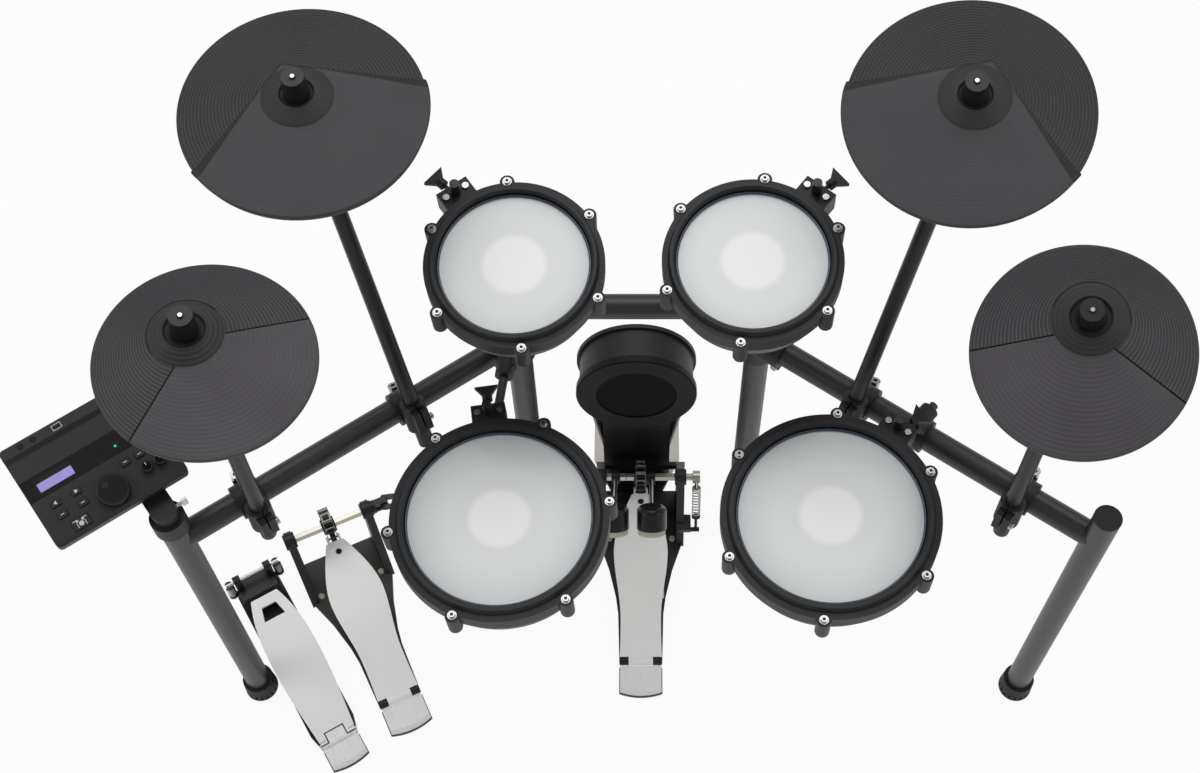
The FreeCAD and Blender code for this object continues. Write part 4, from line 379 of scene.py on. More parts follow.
# Sizes in millimetres. The straight edge leans from the way of the front by its lean, and passes the middle
# of the bell at its reach.
small_size = {"radius": 128.5, "offset": 37.0, "well": 23.0, "ridges": 1.0, "grooves": 21}
small_size.update(lean=math.radians(66.0), reach=-11.7, fan_rise=0.0)
large_size = {"radius": 152.5, "offset": 14.0, "well": 20.5, "ridges": 0.0, "grooves": 24}
large_size.update(lean=math.radians(56.4), reach=44.3, fan_rise=7.0)
bore, well_floor = 9.0, 18.0
bell_radius, bell_top, bell_curve, bow_rise = 43.0, 23.0, 1.25, 14.0
ridge_count, ridge_height = 3.5, 0.55
rim_half, rim_round, lip_width, fan_lip = 3.5, 2.5, 10.0, 3.0
hollow_radius, hollow_top, bore_top = 15.0, 7.0, 12.0
edge_half, bevel_growth = 0.9, 6.9
slit_depth, slit_wall, slit_mark = 1.9, 0.12, 3.0
bell_rows, bow_rows, front_columns, rear_columns = 24, 90, 150, 98


# %% Cymbal finish
def cymbal_rubber(name, rear_depth, fan_depth, painted_light_gain):
    """height = depth(v) sin(2 pi u): u counts the grooves, v is 1 on the playing part, below 0 in a slit."""
    made, tree, shader = start_finish(name)
    count, playing = surface_coords(tree)
    coords = object_coords(tree)
    wave = maths(tree, "SINE", maths(tree, "MULTIPLY", count, 2 * math.pi))
    share = maths(tree, "MAXIMUM", playing, 0.0)
    depth = maths(tree, "ADD", maths(tree, "MULTIPLY", share, fan_depth - rear_depth), rear_depth)
    fine = noise(tree, coords, 900.0, 2.0)
    slow = noise(tree, coords, 11.0, 3.0)
    height = maths(tree, "ADD", maths(tree, "MULTIPLY", wave, depth), maths(tree, "MULTIPLY", fine, 0.12))
    dull = tuple(painted_light_gain * c for c in (0.039, 0.036, 0.040))
    fresh = tuple(painted_light_gain * c for c in (0.047, 0.044, 0.048))
    shown = blend_colours(tree, spread(tree, slow, 0, 1), dull, fresh)
    crest = maths(tree, "MULTIPLY", maths(tree, "ADD", wave, 1.0), 0.5)
    groove_shade = maths(tree, "MULTIPLY", maths(tree, "SUBTRACT", 1.0, crest), depth, True)
    bell_shade = maths(tree, "LESS_THAN", count, 0.1)
    lower, upper = maths(tree, "GREATER_THAN", playing, 0.04), maths(tree, "LESS_THAN", playing, 0.96)
    slit_shade = maths(tree, "LESS_THAN", playing, -0.6)
    # Painted shade, later on top: the valleys of the grooves, the bell and its well, the bevels of the fan
    # and the walls of the slits are darkened, and the floors of the slits are painted nearly black.
    for mask, colour in (
        (maths(tree, "MULTIPLY", groove_shade, 0.72), (0.012, 0.011, 0.012)),
        (bell_shade, (0.027, 0.025, 0.027)),
        (maths(tree, "MULTIPLY", lower, upper), (0.018, 0.0165, 0.018)),
        (slit_shade, (0.004, 0.004, 0.004)),
    ):
        shown = blend_colours(tree, mask, shown, colour)
    fill(tree, shader.inputs["Base Color"], shown)
    fill(tree, shader.inputs["Roughness"], spread(tree, fine, 0.54, 0.68))
    shader.inputs["Specular IOR Level"].default_value = 0.34
    bump(tree, shader, height, 0.9, 0.0005)
    return made


large_rubber = cymbal_rubber("large_cymbal_rubber", 1.0, 0.10, 1.0)
# The small pads get the same rubber painted 1.5 times lighter: painted light, for the way the lamps fall on
# them.
small_rubber = cymbal_rubber("small_cymbal_rubber", 1.0, 0.24, 1.5)


# %% Cymbal surfaces
def cymbal_profile(radius, offset, well, ridges):
    """Rows (centre, radius, height, groove count, lift share) from the bore over the top and rim and back."""
    rows = [(0, bore, well_floor, 0, 0), (0, well - 1.0, well_floor, 0, 0)]
    rows += [(0, well, well_floor + 0.6, 0, 0), (0, well + 0.6, bell_top - 0.8, 0, 0)]
    share = np.linspace(0, 1, bell_rows)
    shoulder = well + 1.6
    cone = shoulder + share * (bell_radius - shoulder)
    height = bell_top - (bell_top - bow_rise) * share ** bell_curve
    height = height + ridges * ridge_height * np.sin(share * 2 * np.pi * ridge_count) * (share < 0.9)
    rows += [(0, q, z, 0, 0) for q, z in zip(cone, height)]
    rows += [(0, bell_radius + 0.3, bow_rise - 0.9, 0, 0), (0, bell_radius + 1.6, bow_rise - 0.2, 0, 0)]
    share = np.linspace(0.02, 1, bow_rows)
    bow_q = bell_radius + share * (radius - rim_round - bell_radius)
    bow_z = bow_rise + share * (rim_half - bow_rise)
    rows += [(offset * s, q, z, s, s) for s, q, z in zip(share, bow_q, bow_z)]
    turn = np.linspace(0, np.pi, 11)[1:]
    edge_q = radius - rim_round + rim_round * np.sin(turn)
    edge_z = rim_half - rim_round + rim_round * np.cos(turn)
    edge_z = np.where(turn > np.pi / 2, edge_z - 2 * (rim_half - rim_round), edge_z)
    rows += [(offset, q, z, 1, 1 if z > 0 else 0) for q, z in zip(edge_q, edge_z)]
    inner = radius - lip_width
    rows += [(offset, inner, -rim_half, 1, 0), (offset, inner - 0.5, -rim_half + 0.6, 1, 0)]
    rows += [(offset * 0.5, (inner + bell_radius) / 2, 1.5, 1, 0), (0, bell_radius, hollow_top, 1, 0)]
    rows += [(0, hollow_radius, hollow_top, 1, 0), (0, bore, bore_top, 1, 0)]
    return np.array(rows)


def line_columns(centre, q, lean, reach, half):
    """Columns drawn to two straight edges: t = pi/2 + lean - acos((reach -/+ half + c sin(lean)) / q)."""

    def crossing(level):
        share = np.clip((level + math.sin(lean) * centre) / q, -1, 1)
        return np.clip(math.pi / 2 + lean - np.arccos(share), 0.5, 2.8)

    rear = crossing(reach + half)
    front = np.minimum(crossing(reach - half), rear - 0.01)
    ahead = np.append(np.linspace(0, 0.99, front_columns), 0.997)
    across = np.array([0.0, 0.07, 0.3, 0.5, 0.7, 0.93])
    behind = np.append([0.0, 0.004], np.linspace(0.012, 1, rear_columns, endpoint=False))
    bands = [front * ahead, front + (rear - front) * across, rear + (np.pi - rear) * behind]
    upper = np.concatenate(bands, axis=1)
    middle = np.full_like(upper[:, :1], np.pi)
    return np.concatenate([upper, middle, 2 * np.pi - upper[:, :0:-1]], axis=1)


def cymbal_grid(radius, offset, well, ridges, grooves, lean, reach, fan_rise):
    """p(row, t) = (c + q cos t, q sin t, z + lift): the lift is the raised fan, or the depth of the slits."""
    rows = cymbal_profile(radius, offset, well, ridges)
    centre, q, z, count, lift = (rows[:, k : k + 1] for k in range(5))
    half = edge_half + bevel_growth * lift * (fan_rise > 0)
    t = line_columns(centre, q, lean, reach, half)
    x, y = centre + q * np.cos(t), q * np.sin(t)
    past_line = -math.sin(lean) * x + math.cos(lean) * np.abs(y) - reach
    if fan_rise:
        playing = np.clip(0.5 - past_line / (2 * half), 0, 1)
        stretch = 1 + fan_lip * lift * (past_line < 1.001 * half) * (count >= 1) / radius
        x, y = centre + (x - centre) * stretch, y * stretch
        z = z + fan_rise * playing * lift
    else:
        slit = np.clip((half - np.abs(past_line)) / (slit_wall * half), 0, 1) * (lift > 0) * (z > 0)
        playing = (past_line < 0) - slit_mark * slit
        z = z - slit_depth * slit
    uv = np.stack([count * grooves * np.ones_like(x), playing], -1)
    return np.stack([x, y, z * np.ones_like(x)], -1), uv


for name, (centre, along, normal, front) in cymbals.items():
    size, rubber = (small_size, small_rubber) if name in small_cymbals else (large_size, large_rubber)
    grid, uv = cymbal_grid(**size)
    turn = math.radians(front)
    spin = [[math.cos(turn), math.sin(turn), 0], [-math.sin(turn), math.cos(turn), 0], [0, 0, 1]]
    points = stand(grid @ np.array(spin), centre, along, normal)[:, ::-1]
    body, pad = name + "_cymbal", name + "_pad"
    make_piece(name + "_rubber", points, body, rubber, True, uv[:, ::-1], pad)
    print(name, "cymbal:", points.shape[0] * points.shape[1], "points")

# %% [markdown]
# Below each cymbal its rod ends in a threaded stud, and a rubber stopper with a bright stud tip holds the pad
# on. Rod, stopper and tip are one solid here, parted by planes square to the stud.

# %% Rods and stoppers
bronze = (bronze_colour, 0.36, 0.25)
stopper_rubber = ((0.010, 0.010, 0.0105), 0.45, 0.0)
bright_steel = ((0.72, 0.72, 0.73), 0.24, 1.0)
stopper_foot, stopper_top, tip_radius = 0.0214, 0.0548, 0.0025
for name, (centre, _, normal, _) in cymbals.items():
    middle, stud = np.array(centre), np.array(normal)
    stopper = ([past(middle + stopper_foot * stud, stud)], stopper_rubber)
    tip = ([past(middle + stopper_top * stud, stud), near_axis(middle, stud, tip_radius)], bright_steel)
    dress(name + "_arm", patched(name + "_rod", bronze, [stopper, tip], 1800, 0.0001))
print("rods:", len(cymbals))

# %% [markdown]
# The heads are two plies of white mesh pulled tight over the shell, so they are nearly flat, shine softly and
# let the foam cone below show through as a paler disc. Towards the rim the mesh is painted darker, as painted
# shade. A narrow dark blue band lies where the mesh turns down over the rim. Six flat discs painted nearly
# black, as painted shade for the recesses of the key sockets, mark the tops of the tension bolts.

large_radii, small_radii = (121.0, 135.8), (97.0, 108.8)
drums = {
    "snare": (
        (-0.08872, -0.24976, 0.6780), (0.99970, -0.00111, 0.02438), (-0.02441, -0.04535, 0.99867),
        large_radii, 8.0,
    ),
    "floor_tom": (
        (0.33628, -0.24976, 0.6870), (0.99956, -0.00170, 0.02957), (-0.02962, -0.05754, 0.99790),
        large_radii, 23.5,
    ),
    "left_tom": (
        (-0.06672, 0.01024, 0.8730), (0.99998, 0.00115, -0.00679), (0.00688, -0.16676, 0.98597),
        small_radii, 36.0,
    ),
    "right_tom": (
        (0.23428, 0.01224, 0.8790), (0.99940, -0.00475, 0.03424), (-0.03457, -0.13736, 0.98992),
        small_radii, 21.0,
    ),
}
head_drop, crown_rise = 0.9, 0.35
band_inset, band_level, band_half_width, band_half_height = 0.6, 1.1, 1.9, 1.6
lug_count, lug_out = 6, 7.2
key_rows = np.array([(2.3, 7.7), (2.3, 8.05), (0.01, 8.05)])


def mesh_finish():
    """White weave w(x) w(y), paler over the foam cone where the distance u from the middle is small, and
    painted darker towards the rim as painted shade.
    """
    made, tree, shader = start_finish("stretched_mesh")
    distance = surface_coords(tree)[0]
    coords = object_coords(tree)
    cone = carry(tree, distance, 34.0, 46.0, 1.0, 0.0, interpolation_type="SMOOTHSTEP")
    # Painted shade: the ground colour darkens from 70 to 122 millimetres out, towards the rim.
    edge = carry(tree, distance, 70.0, 122.0, 0.0, 1.0)
    weave = add(tree, "ShaderNodeTexWave", {"Vector": coords, "Scale": 700.0}).outputs[1]
    cross = add(tree, "ShaderNodeTexWave", {"Vector": coords, "Scale": 700.0}, bands_direction="Y").outputs[1]
    threads = maths(tree, "MULTIPLY", weave, cross)
    ground = blend_colours(tree, edge, (0.63, 0.645, 0.645), (0.52, 0.54, 0.545))
    shown = blend_colours(tree, maths(tree, "MULTIPLY", cone, 0.75), ground, (0.80, 0.80, 0.79))
    fill(tree, shader.inputs["Base Color"], shown)
    fill(tree, shader.inputs["Roughness"], spread(tree, noise(tree, coords, 400.0), 0.26, 0.36))
    shader.inputs["Coat Weight"].default_value = 0.2
    shader.inputs["Coat Roughness"].default_value = 0.12
    bump(tree, shader, threads, 0.08, 0.0001)
    return made


def revolved(q, z, t):
    """p(row, t) = (q cos t, q sin t, z), with a radius q and a height z for each row."""
    return np.stack([q * np.cos(t), q * np.sin(t), z + 0 * t], -1)


mesh_white = mesh_finish()
rim_blue = grained("blue_band", (0.012, 0.032, 0.055), 0.3, 900, 0.0001, coat=0.3)
# The key sockets are flat hex discs painted nearly black: painted shade for their recesses.
key_socket_shade = grained("key_socket_shade", (0.006, 0.006, 0.006), 0.6, 900, 0.0001)
for name, (centre, along, normal, (head, seat), lug_turn) in drums.items():
    body = name + "_pad_body"
    t = np.linspace(0, 2 * np.pi, 160, endpoint=False)
    r = np.linspace(0, 1, 40)[:, None] * seat
    crown = -head_drop + crown_rise * (1 - (r / seat) ** 2)
    r[0] = 0.01
    points = stand(revolved(r, crown, t), centre, along, normal)[:, ::-1]
    uv = np.stack([r + 0 * t, 0 * r * t], -1)[:, ::-1]
    skin = make_piece(name + "_mesh", points, body, mesh_white, False, uv, name + "_head")
    skin.data.flip_normals()
    s = np.linspace(0, 2 * np.pi, 14, endpoint=False)[:, None]
    band_q = head - band_inset + band_half_width * np.cos(s)
    ring = revolved(band_q, band_level + band_half_height * np.sin(s), t)
    make_piece(name + "_band", stand(ring, centre, along, normal), body, rim_blue, True)
    sixths = np.radians(360 / lug_count * np.arange(lug_count))
    lugs = math.radians(lug_turn) + sixths
    spots = (seat + lug_out) * np.stack([np.cos(lugs), np.sin(lugs), 0 * lugs], -1)
    key = revolved(key_rows[:, :1], key_rows[:, 1:], sixths)
    keys = stand(spots[:, None, None, :] + key, centre, along, normal)
    make_piece(name + "_key_sockets", keys, body, key_socket_shade, smooth=False)
print("heads:", len(drums))

# %% [markdown]
# The two bass pedals and the hi-hat pedal share one idea: a bare aluminium footboard and heel plate on a
# black frame. The boards are brushed along their length, so each needs streaks in its own direction. A satin
# board scatters nearly all of the light, so its finish has the streaks of a metal and not its mirror. The
# hinge of the hi-hat pedal shows only as a dark seam around a square tab; the bass pedals have two black ears
# there.

pedals = {
    "kick_pedal": ((0.09328, 0.09724, 0.0), 0.0, -0.2947),
    "remote_pedal": ((-0.42372, 0.00724, 0.0), 25.5, -0.2947),
    "hi_hat_pedal": ((-0.36872, -0.35976, 0.0), 31.3, 0.0540),
}
painted_black = ((0.010, 0.010, 0.011), 0.42, 0.0)
bare_plate = ((0.90, 0.90, 0.89), 0.40, 0.0)
seam_black = (seam_colour, 0.6, 0.0)
plate_level = 0.0051
# Five bars of the seam, in the pedal's millimetres: middle x and y, half width, half depth.
tab_seam = (
    (-24.0, 44.5, 7.0, 1.0),
    (-17.0, 53.2, 1.0, 9.6),
    (-1.0, 61.8, 17.0, 1.0),
    (15.0, 53.0, 1.0, 9.6),
    (23.5, 43.8, 8.5, 1.0),
)
toe_pin, toe_pin_radius = (0, 344.97, 88), 0.0032
bare_patch, patch_half_width, patch_half_depth = (34.5, -154.5, 5), 0.0048, 0.0165


def pedal_axes(name):
    """Along the axle and towards the toe."""
    turn = math.radians(pedals[name][1])
    return np.array([math.cos(turn), math.sin(turn), 0.0]), np.array([-math.sin(turn), math.cos(turn), 0.0])


def on_pedal(name, x, y, z):
    """p = o + x a + y b + z up, in a pedal's own millimetres."""
    along, ahead = pedal_axes(name)
    return np.array(pedals[name][0]) + mm * (x * along + y * ahead + z * up)


for name, (origin, turn, heel_end) in pedals.items():
    along, ahead = pedal_axes(name)
    brush = math.radians(-turn)
    heel = [past(np.array(origin) + heel_end * ahead, -ahead), past(plate_level * up, up)]
    patches, seams = [(heel, bare_plate)], []
    if name == "hi_hat_pedal":
        for x, y, half_width, half_depth in tab_seam:
            spot = on_pedal(name, x, y, 0)
            seams.append(slab(spot, along, half_width * mm) + slab(spot, ahead, half_depth * mm))
        patches += [(seam, seam_black) for seam in seams]
        patches.append(([near_axis(on_pedal(name, *toe_pin), along, toe_pin_radius)], bright_steel))
    if name == "kick_pedal":
        spot = on_pedal(name, *bare_patch)
        shares = slab(spot, along, patch_half_width) + slab(spot, ahead, patch_half_depth)
        patches.append((shares, bare_plate))
    dress(name + "_base", patched(name + "_frame", painted_black, patches, 1200, 0.0002, brush))
    dress(name + "_board", brushed(name + "_brushed", (0.95, 0.95, 0.94), 0.42, brush, 0.05, seams))
print("pedals:", len(pedals))

# %% [markdown]
# A beater is a felt puck in a black moulded head on a steel stick. The stick's hub, the toothed wheel and the
# yokes of the shaft between the pedals are black; the six-sided axles are bare and a little warm in colour.

# %% Axles and beaters
warm_steel = ((0.50, 0.47, 0.42), 0.32, 1.0)
head_black = ((0.009, 0.009, 0.0095), 0.3, 0.0)
felt = ((0.60, 0.56, 0.46), 0.95, 0.0)
axle_height, wheel_half = 120, 0.0113
stick_length, head_half, felt_start = 0.205, 0.0238, 0.0181
hub_half, hub_top = 0.0072, 0.0137
stick_lean = math.radians(45.0)
stick_way = np.array([0.0, -math.sin(stick_lean), math.cos(stick_lean)])
forward = np.array([0.0, math.cos(stick_lean), math.sin(stick_lean)])
sideways = np.array([1.0, 0.0, 0.0])


def beater_patches(x):
    """Hub, head and felt of the beater that stands x millimetres along the axle."""
    base = on_pedal("kick_pedal", x, 0, axle_height)
    middle = base + stick_length * stick_way
    above = past(middle - head_half * stick_way, stick_way)
    behind = past(middle - felt_start * forward, -forward)
    hub = slab(base, sideways, hub_half) + [past(base + hub_top * stick_way, -stick_way)]
    return [(hub, painted_black), ([above], head_black), ([above, behind], felt)]


def wheel_patch(name):
    """The toothed wheel in the middle of a pedal's axle."""
    return slab(on_pedal(name, 0, 0, axle_height), pedal_axes(name)[0], wheel_half), painted_black


def yoke_patch(name, x, way):
    """The shaft's yoke, past x millimetres along a pedal's axle."""
    return [past(on_pedal(name, x, 0, axle_height), way)], painted_black


remote_along = pedal_axes("remote_pedal")[0]
right_patches = [wheel_patch("kick_pedal")] + beater_patches(17.0)
left_patches = [yoke_patch("kick_pedal", -87.3, -sideways)] + beater_patches(-42.0)
remote_patches = [wheel_patch("remote_pedal"), yoke_patch("remote_pedal", 76.8, remote_along)]
dress("kick_pedal_axle", patched("right_beater_axle", warm_steel, right_patches))
dress("left_beater", patched("left_beater_axle", warm_steel, left_patches))
dress("remote_pedal_axle", patched("remote_axle_steel", warm_steel, remote_patches))
dress("drive_shaft", grained("shaft_black", (0.016, 0.016, 0.017), 0.34, 1200, 0.0001, metallic=0.3))
print("axles: patches", len(right_patches), len(left_patches), len(remote_patches))

# %% [markdown]
# The striking face of the kick is a cloth disc let into a rubber ring. Its tower is a black channel between
# two flared wings of bare steel with black knobs, on a bare steel plate.

# %% Kick face and tower
kick_centre = np.array([0.08628, 0.13524, 0.326])
kick_lean = math.radians(3.0)
kick_facing = np.array([0.0, -math.cos(kick_lean), math.sin(kick_lean)])
ring_rubber = ((0.008, 0.008, 0.0085), 0.5, 0.0)
cloth = ((0.006, 0.006, 0.0065), 0.8, 0.0)
cloth_radius = 0.0641
cloth_disc = ([near_axis(kick_centre, kick_facing, cloth_radius)], cloth)
dress("kick_face", patched("kick_face_rubber", ring_rubber, [cloth_disc], 1400, 0.0004, specular=0.16))
dull_steel = ((0.42, 0.40, 0.37), 0.42, 0.3)
kick_x, wing_y, plate_top = kick_centre[0], 0.16824, 0.0085
wing_skin, wing_foot, wing_flare = 0.0563, 0.056, 0.032
wing_base, wing_height = 0.130, 0.196
wing_out, wing_down = 0.98692, -0.16115
knob_shares, knob_radius = (0.58, 0.73), 0.0066
plate = [past(np.array([0.0, wing_y, 0.0]), np.array([0.0, 1.0, 0.0])), past(plate_top * up, -up)]
patches = [(plate, dull_steel)]
for side in (-1, 1):
    patches.append(([past(np.array([kick_x + side * wing_skin, 0.0, 0.0]), side * sideways)], dull_steel))
    outward = np.array([side * wing_out, 0.0, wing_down])
    for share in knob_shares:
        wing_x = kick_x + side * (wing_foot + wing_flare * share)
        spot = np.array([wing_x, wing_y, wing_base + wing_height * share])
        patches.append(([near_axis(spot, outward, knob_radius)], painted_black))
dress("kick_tower", patched("tower_steel", painted_black, patches, 1200, 0.0002))
print("tower patches:", len(patches))

# %% [markdown]
# Screws on the pedals are small, so a single turned profile serves for all: a flat washer, a rounded rim and
# a six-sided recess that is pressed into the top by the angle round the axis.

# %% Screws on the pedals
# Rows of the profile as shares of a screw's radius and height; two of them lie on the walls of the recess.
screw_outside = [(1.0, -0.1), (1.0, 0.25), (0.8, 0.3), (0.78, 0.75), (0.66, 1.0)]
screw_rows = np.array(screw_outside + [(0.42, 1.0), (0.40, 0.45), (0.003, 0.40)])
recess = slice(5, 7)
heel_screw, toe_screw = (5.4, 3.0), (5.0, 3.2)
board_slope, board_hinge, board_top = math.radians(11.16), (0, -288.0, 17.0), 3.5


def screw_grid(radius, height, spot, axis):
    """p(row, t) = s + q (u cos t + v sin t) + z a; in the recess q = apothem / cos(angle to the flat)."""
    t = np.linspace(0, 2 * np.pi, 48, endpoint=False)
    q = screw_rows[:, :1] * radius * np.ones_like(t)
    flat = np.cos(np.mod(t, np.pi / 3) - np.pi / 6)
    q[recess] = q[recess] * math.cos(np.pi / 6) / flat
    axis = np.array(axis) / np.linalg.norm(axis)
    side = np.cross(axis, [0.37, 0.61, 0.70])
    side = side / np.linalg.norm(side)
    other = np.cross(axis, side)
    ring = q[..., None] * (np.cos(t)[:, None] * side + np.sin(t)[:, None] * other)
    return np.array(spot) + mm * (ring + screw_rows[:, 1, None, None] * height * axis)


brass = grained("zinc_brass_screw", (0.80, 0.74, 0.58), 0.35, 700, 0.00005, mottle=0.06, metallic=0.2)
black_screw = grained("black_screw", (0.012, 0.012, 0.012), 0.35, 700, 0.00005, mottle=0.06, metallic=0.4)
screws = []
for name, reach in (("kick_pedal", 271.5), ("remote_pedal", 266.0)):
    for side, x in (("left", -54.0), ("right", 54.0)):
        grid = screw_grid(*heel_screw, on_pedal(name, x, -60.0, 5.0), up)
        screws.append(make_piece("%s_%s_screw" % (name, side), grid, "rack", brass))
    along, ahead = pedal_axes(name)
    lie = math.cos(board_slope) * ahead + math.sin(board_slope) * up
    square = math.cos(board_slope) * up - math.sin(board_slope) * ahead
    spot = on_pedal(name, *board_hinge) + mm * (reach * lie + board_top * square)
    grid = screw_grid(*toe_screw, spot, square)
    body = name.replace("_pedal", "_footboard")
    screws.append(make_piece(name + "_toe_screw", grid, body, black_screw))
print("screws:", len(screws))

# %% [markdown]
# The sound module is a dark slab with a glossy strip across it that holds the lit screen and a pilot lamp.
# Its marks are plain signs only: arrows on the cursor buttons, a small plan of drums on the largest button
# and bars on the others. They are painted by planes and cylinders in the panel's own axes, so a button
# carries its sign along when it is pressed.

# %% Module panel
panel_centre = np.array([-0.61172, -0.18376, 0.7050])
panel_along = np.array([0.80386, 0.59482, 0.0])
panel_upward = np.array([-0.55895, 0.75538, 0.34202])
panel_normal = np.array([0.20344, -0.27494, 0.93969])
case_black = ((0.021, 0.020, 0.023), 0.55, 0.0)
gloss_black = ((0.006, 0.006, 0.007), 0.14, 0.0)
control_black = ((0.018, 0.018, 0.020), 0.5, 0.0)
sign_white = ((0.70, 0.70, 0.70), 0.5, 0.0)
frame_silver = ((0.45, 0.43, 0.38), 0.35, 1.0)
# Painted shade: nearly black for the openings of the jacks and the port, which are flat patches.
hole_shade = ((0.003, 0.003, 0.003), 0.6, 0.0)
dial_rim = ((0.016, 0.016, 0.017), 0.35, 0.0)
dial_top = ((0.006, 0.006, 0.0065), 0.22, 0.0)
dial_dimple = ((0.020, 0.020, 0.021), 0.3, 0.0)


def on_panel(x, y, z=0.0):
    """p = c + x a + y b + z n, in the panel's own millimetres."""
    return panel_centre + mm * (x * panel_along + y * panel_upward + z * panel_normal)


def over(level):
    """Share 1 higher than level millimetres over the panel."""
    return past(on_panel(0, 0, level), panel_normal)


def disc(x, y, radius):
    """The cylinder round a circle on the panel."""
    return [near_axis(on_panel(x, y), panel_normal, radius * mm)]


def oblong(x, y, width, depth):
    """The four planes round a rectangle on the panel."""
    spot = on_panel(x, y)
    return slab(spot, panel_along, width / 2 * mm) + slab(spot, panel_upward, depth / 2 * mm)


def arrow(x, y, size, degrees):
    """Three planes, 120 degrees apart, that leave a triangle pointing the given way."""
    turns = np.radians(degrees + 60 + np.array([0, 120, 240]))
    ways = np.cos(turns)[:, None] * panel_along + np.sin(turns)[:, None] * panel_upward
    return [past(on_panel(x, y) + size * mm * way, -way) for way in ways]


def dress_control(name, finish_name, patches, ground=control_black):
    """A moulded control with its marks."""
    dress(name, patched(finish_name, ground, patches, 1200, 0.0001))


ridge_y, on_ridge, top_only = 65.0, over(5.6), over(2.0)
patches = [(oblong(0, 9.5, 186, 31) + [over(-0.4)], gloss_black)]
# The openings of the jacks and the port are painted nearly black, as painted shade for the holes.
for x in (-66.8, -48.8):
    patches.append((disc(x, ridge_y, 4.2) + [on_ridge], gloss_black))
    patches.append((disc(x, ridge_y, 2.5) + [on_ridge], hole_shade))
patches.append((oblong(-15.8, ridge_y, 13.0, 8.0) + [on_ridge], frame_silver))
patches.append((oblong(-15.8, ridge_y, 10.6, 5.6) + [on_ridge], hole_shade))
dress("module_case", patched("module_panel", case_black, patches, 1400, 0.0001))
plan = [disc(-53.0, -59.6, 3.3), disc(-56.9, -54.8, 1.8), disc(-49.1, -54.8, 1.8)]
plan += [oblong(x, -53.6, 5.0, 0.9) for x in (-60.4, -45.6)]
plan += [oblong(x, -60.5, 0.9, 7.0) for x in (-58.5, -47.5)]
signs = {
    "upper_left_button": [arrow(-67.0, -20.0, 1.5, 180)],
    "upper_right_button": [arrow(-38.5, -20.0, 1.5, 0)],
    "lower_left_button": [oblong(-67.0, -37.0, 5.0, 1.0)],
    "lower_right_button": [oblong(-38.5, -37.0, 5.0, 1.0)],
    "first_select_button": [oblong(32.0, -19.5, 5.0, 0.9)],
    "second_select_button": [oblong(52.5, -19.5, 5.0, 0.9)],
    "kit_button": plan,
}
for name, shapes in signs.items():
    dress_control(name, name + "_cap", [(shape + [top_only], sign_white) for shape in shapes])
for name, x in (("first_volume_knob", 52.0), ("second_volume_knob", 71.0)):
    pointer = (oblong(x, -36.5, 0.9, 4.0) + [over(8.0)], sign_white)
    dress_control(name, name + "_knob", [(disc(x, -40.0, 6.0), gloss_black), pointer])
dial_patches = [(disc(1.0, -44.0, 18.5), dial_top), (disc(-4.5, -34.5, 4.5), dial_dimple)]
dress_control("module_dial", "module_dial_cap", dial_patches, dial_rim)
print("signs:", len(signs))

# %% [markdown]
# The screen glows blue in a window of black glass, and a small green dome beside it tells that the module is
# on. Both give a little light of their own.

# %% Module screen
screen, tree, shader = start_finish("lit_screen")
coords = object_coords(tree)
window = overlap(tree, coords, oblong(-51.0, 7.2, 48.0, 12.0))
glow = spread(tree, noise(tree, coords, 60.0), 0, 1)
glass = blend_colours(tree, window, (0.006, 0.006, 0.007), (0.12, 0.10, 0.22))
lit = blend_colours(tree, glow, (0.22, 0.19, 0.48), (0.32, 0.28, 0.60))
fill(tree, shader.inputs["Base Color"], glass)
fill(tree, shader.inputs["Emission Color"], blend_colours(tree, window, (0.0, 0.0, 0.0), lit))
shader.inputs["Roughness"].default_value = 0.2
shader.inputs["Emission Strength"].default_value = 0.9
dress("module_screen", screen)

# %% Pilot lamp
lamp_radius, lamp_rise, lamp_sunk = 1.7, 0.6, 0.1
lamp_glow, tree, shader = start_finish("pilot_lamp")
cloud = spread(tree, noise(tree, object_coords(tree), 300.0), 0, 1)
fill(tree, shader.inputs["Base Color"], blend_colours(tree, cloud, (0.0, 0.30, 0.24), (0.0, 0.42, 0.34)))
shader.inputs["Emission Color"].default_value = (0.0, 0.62, 0.48, 1)
shader.inputs["Emission Strength"].default_value = 0.7
rise = np.linspace(0, np.pi / 2, 7)[:, None]
t = np.linspace(0, 2 * np.pi, 28, endpoint=False)
dome = revolved(lamp_radius * np.cos(rise), lamp_rise * np.sin(rise) - lamp_sunk, t)
points = stand(dome, on_panel(32.5, 5.5), panel_along, panel_normal)
make_piece("pilot_lamp", points, "module_body", lamp_glow)
print("pilot lamp:", points.shape[0] * points.shape[1], "points")

# %% [markdown]
# The floor's own light is seen by the camera, by metal and by glass only, so it looks white and still takes
# some of the shadows.

# %% Floor and light
floor_half, own_light = 9.0, 0.92
lamp_target = (0, 0, 0.6)


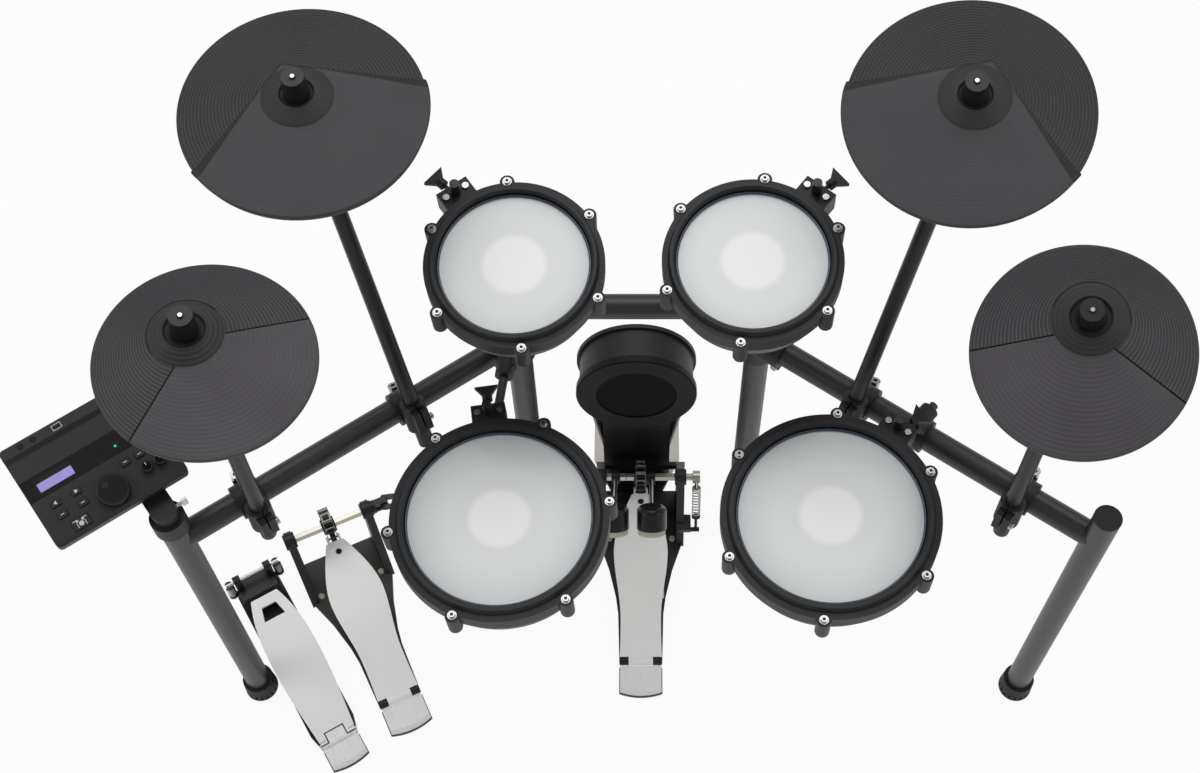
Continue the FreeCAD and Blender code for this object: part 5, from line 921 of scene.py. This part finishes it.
def pale_floor():
    """Plain white paint, and mostly its own light where the camera or a reflection looks at it."""
    made, tree, shader = start_finish("pale_floor")
    shader.inputs["Base Color"].default_value = (0.86, 0.86, 0.86, 1)
    shader.inputs["Roughness"].default_value = 0.9
    path = add(tree, "ShaderNodeLightPath")
    seen = maths(tree, "ADD", path.outputs["Is Camera Ray"], path.outputs["Is Glossy Ray"], True)
    seen = maths(tree, "ADD", seen, path.outputs["Is Transmission Ray"], True)
    share = maths(tree, "MULTIPLY", seen, own_light)
    light = add(tree, "ShaderNodeEmission", {"Color": (1, 1, 1, 1), "Strength": 1.0})
    mixed = add(tree, "ShaderNodeMixShader", {0: share, 1: shader.outputs[0], 2: light.outputs[0]})
    output = next(node for node in tree.nodes if node.type == "OUTPUT_MATERIAL")
    tree.links.new(mixed.outputs[0], output.inputs["Surface"])
    return made


def soft_lamp(name, spot, size, power):
    lamp = bpy.data.lights.new(name, "AREA")
    lamp.shape = "RECTANGLE"
    lamp.size, lamp.size_y = size
    lamp.energy = power
    made = bpy.data.objects.new(name, lamp)
    made.location = spot
    made.rotation_euler = (Vector(lamp_target) - Vector(spot)).to_track_quat("-Z", "Y").to_euler()
    bpy.context.scene.collection.objects.link(made)


floor_mesh = bpy.data.meshes.new("floor")
floor_corners = [(x * floor_half, y * floor_half, 0) for x, y in ((-1, -1), (1, -1), (1, 1), (-1, 1))]
floor_mesh.from_pydata(floor_corners, [], [(0, 1, 2, 3)])
floor_mesh.materials.append(pale_floor())
floor = bpy.data.objects.new("floor", floor_mesh)
bpy.context.scene.collection.objects.link(floor)
soft_lamp("over_the_kit", (0.0, 1.2, 3.4), (3.4, 2.2), 50)
soft_lamp("left_side", (-2.6, -0.6, 2.2), (1.6, 2.0), 18)
soft_lamp("right_side", (2.6, -0.6, 2.4), (1.6, 2.0), 18)
world = bpy.data.worlds.new("studio")
world.use_nodes = True
world.node_tree.nodes["Background"].inputs["Color"].default_value = (1, 1, 1, 1)
world.node_tree.nodes["Background"].inputs["Strength"].default_value = 0.42
bpy.context.scene.world = world
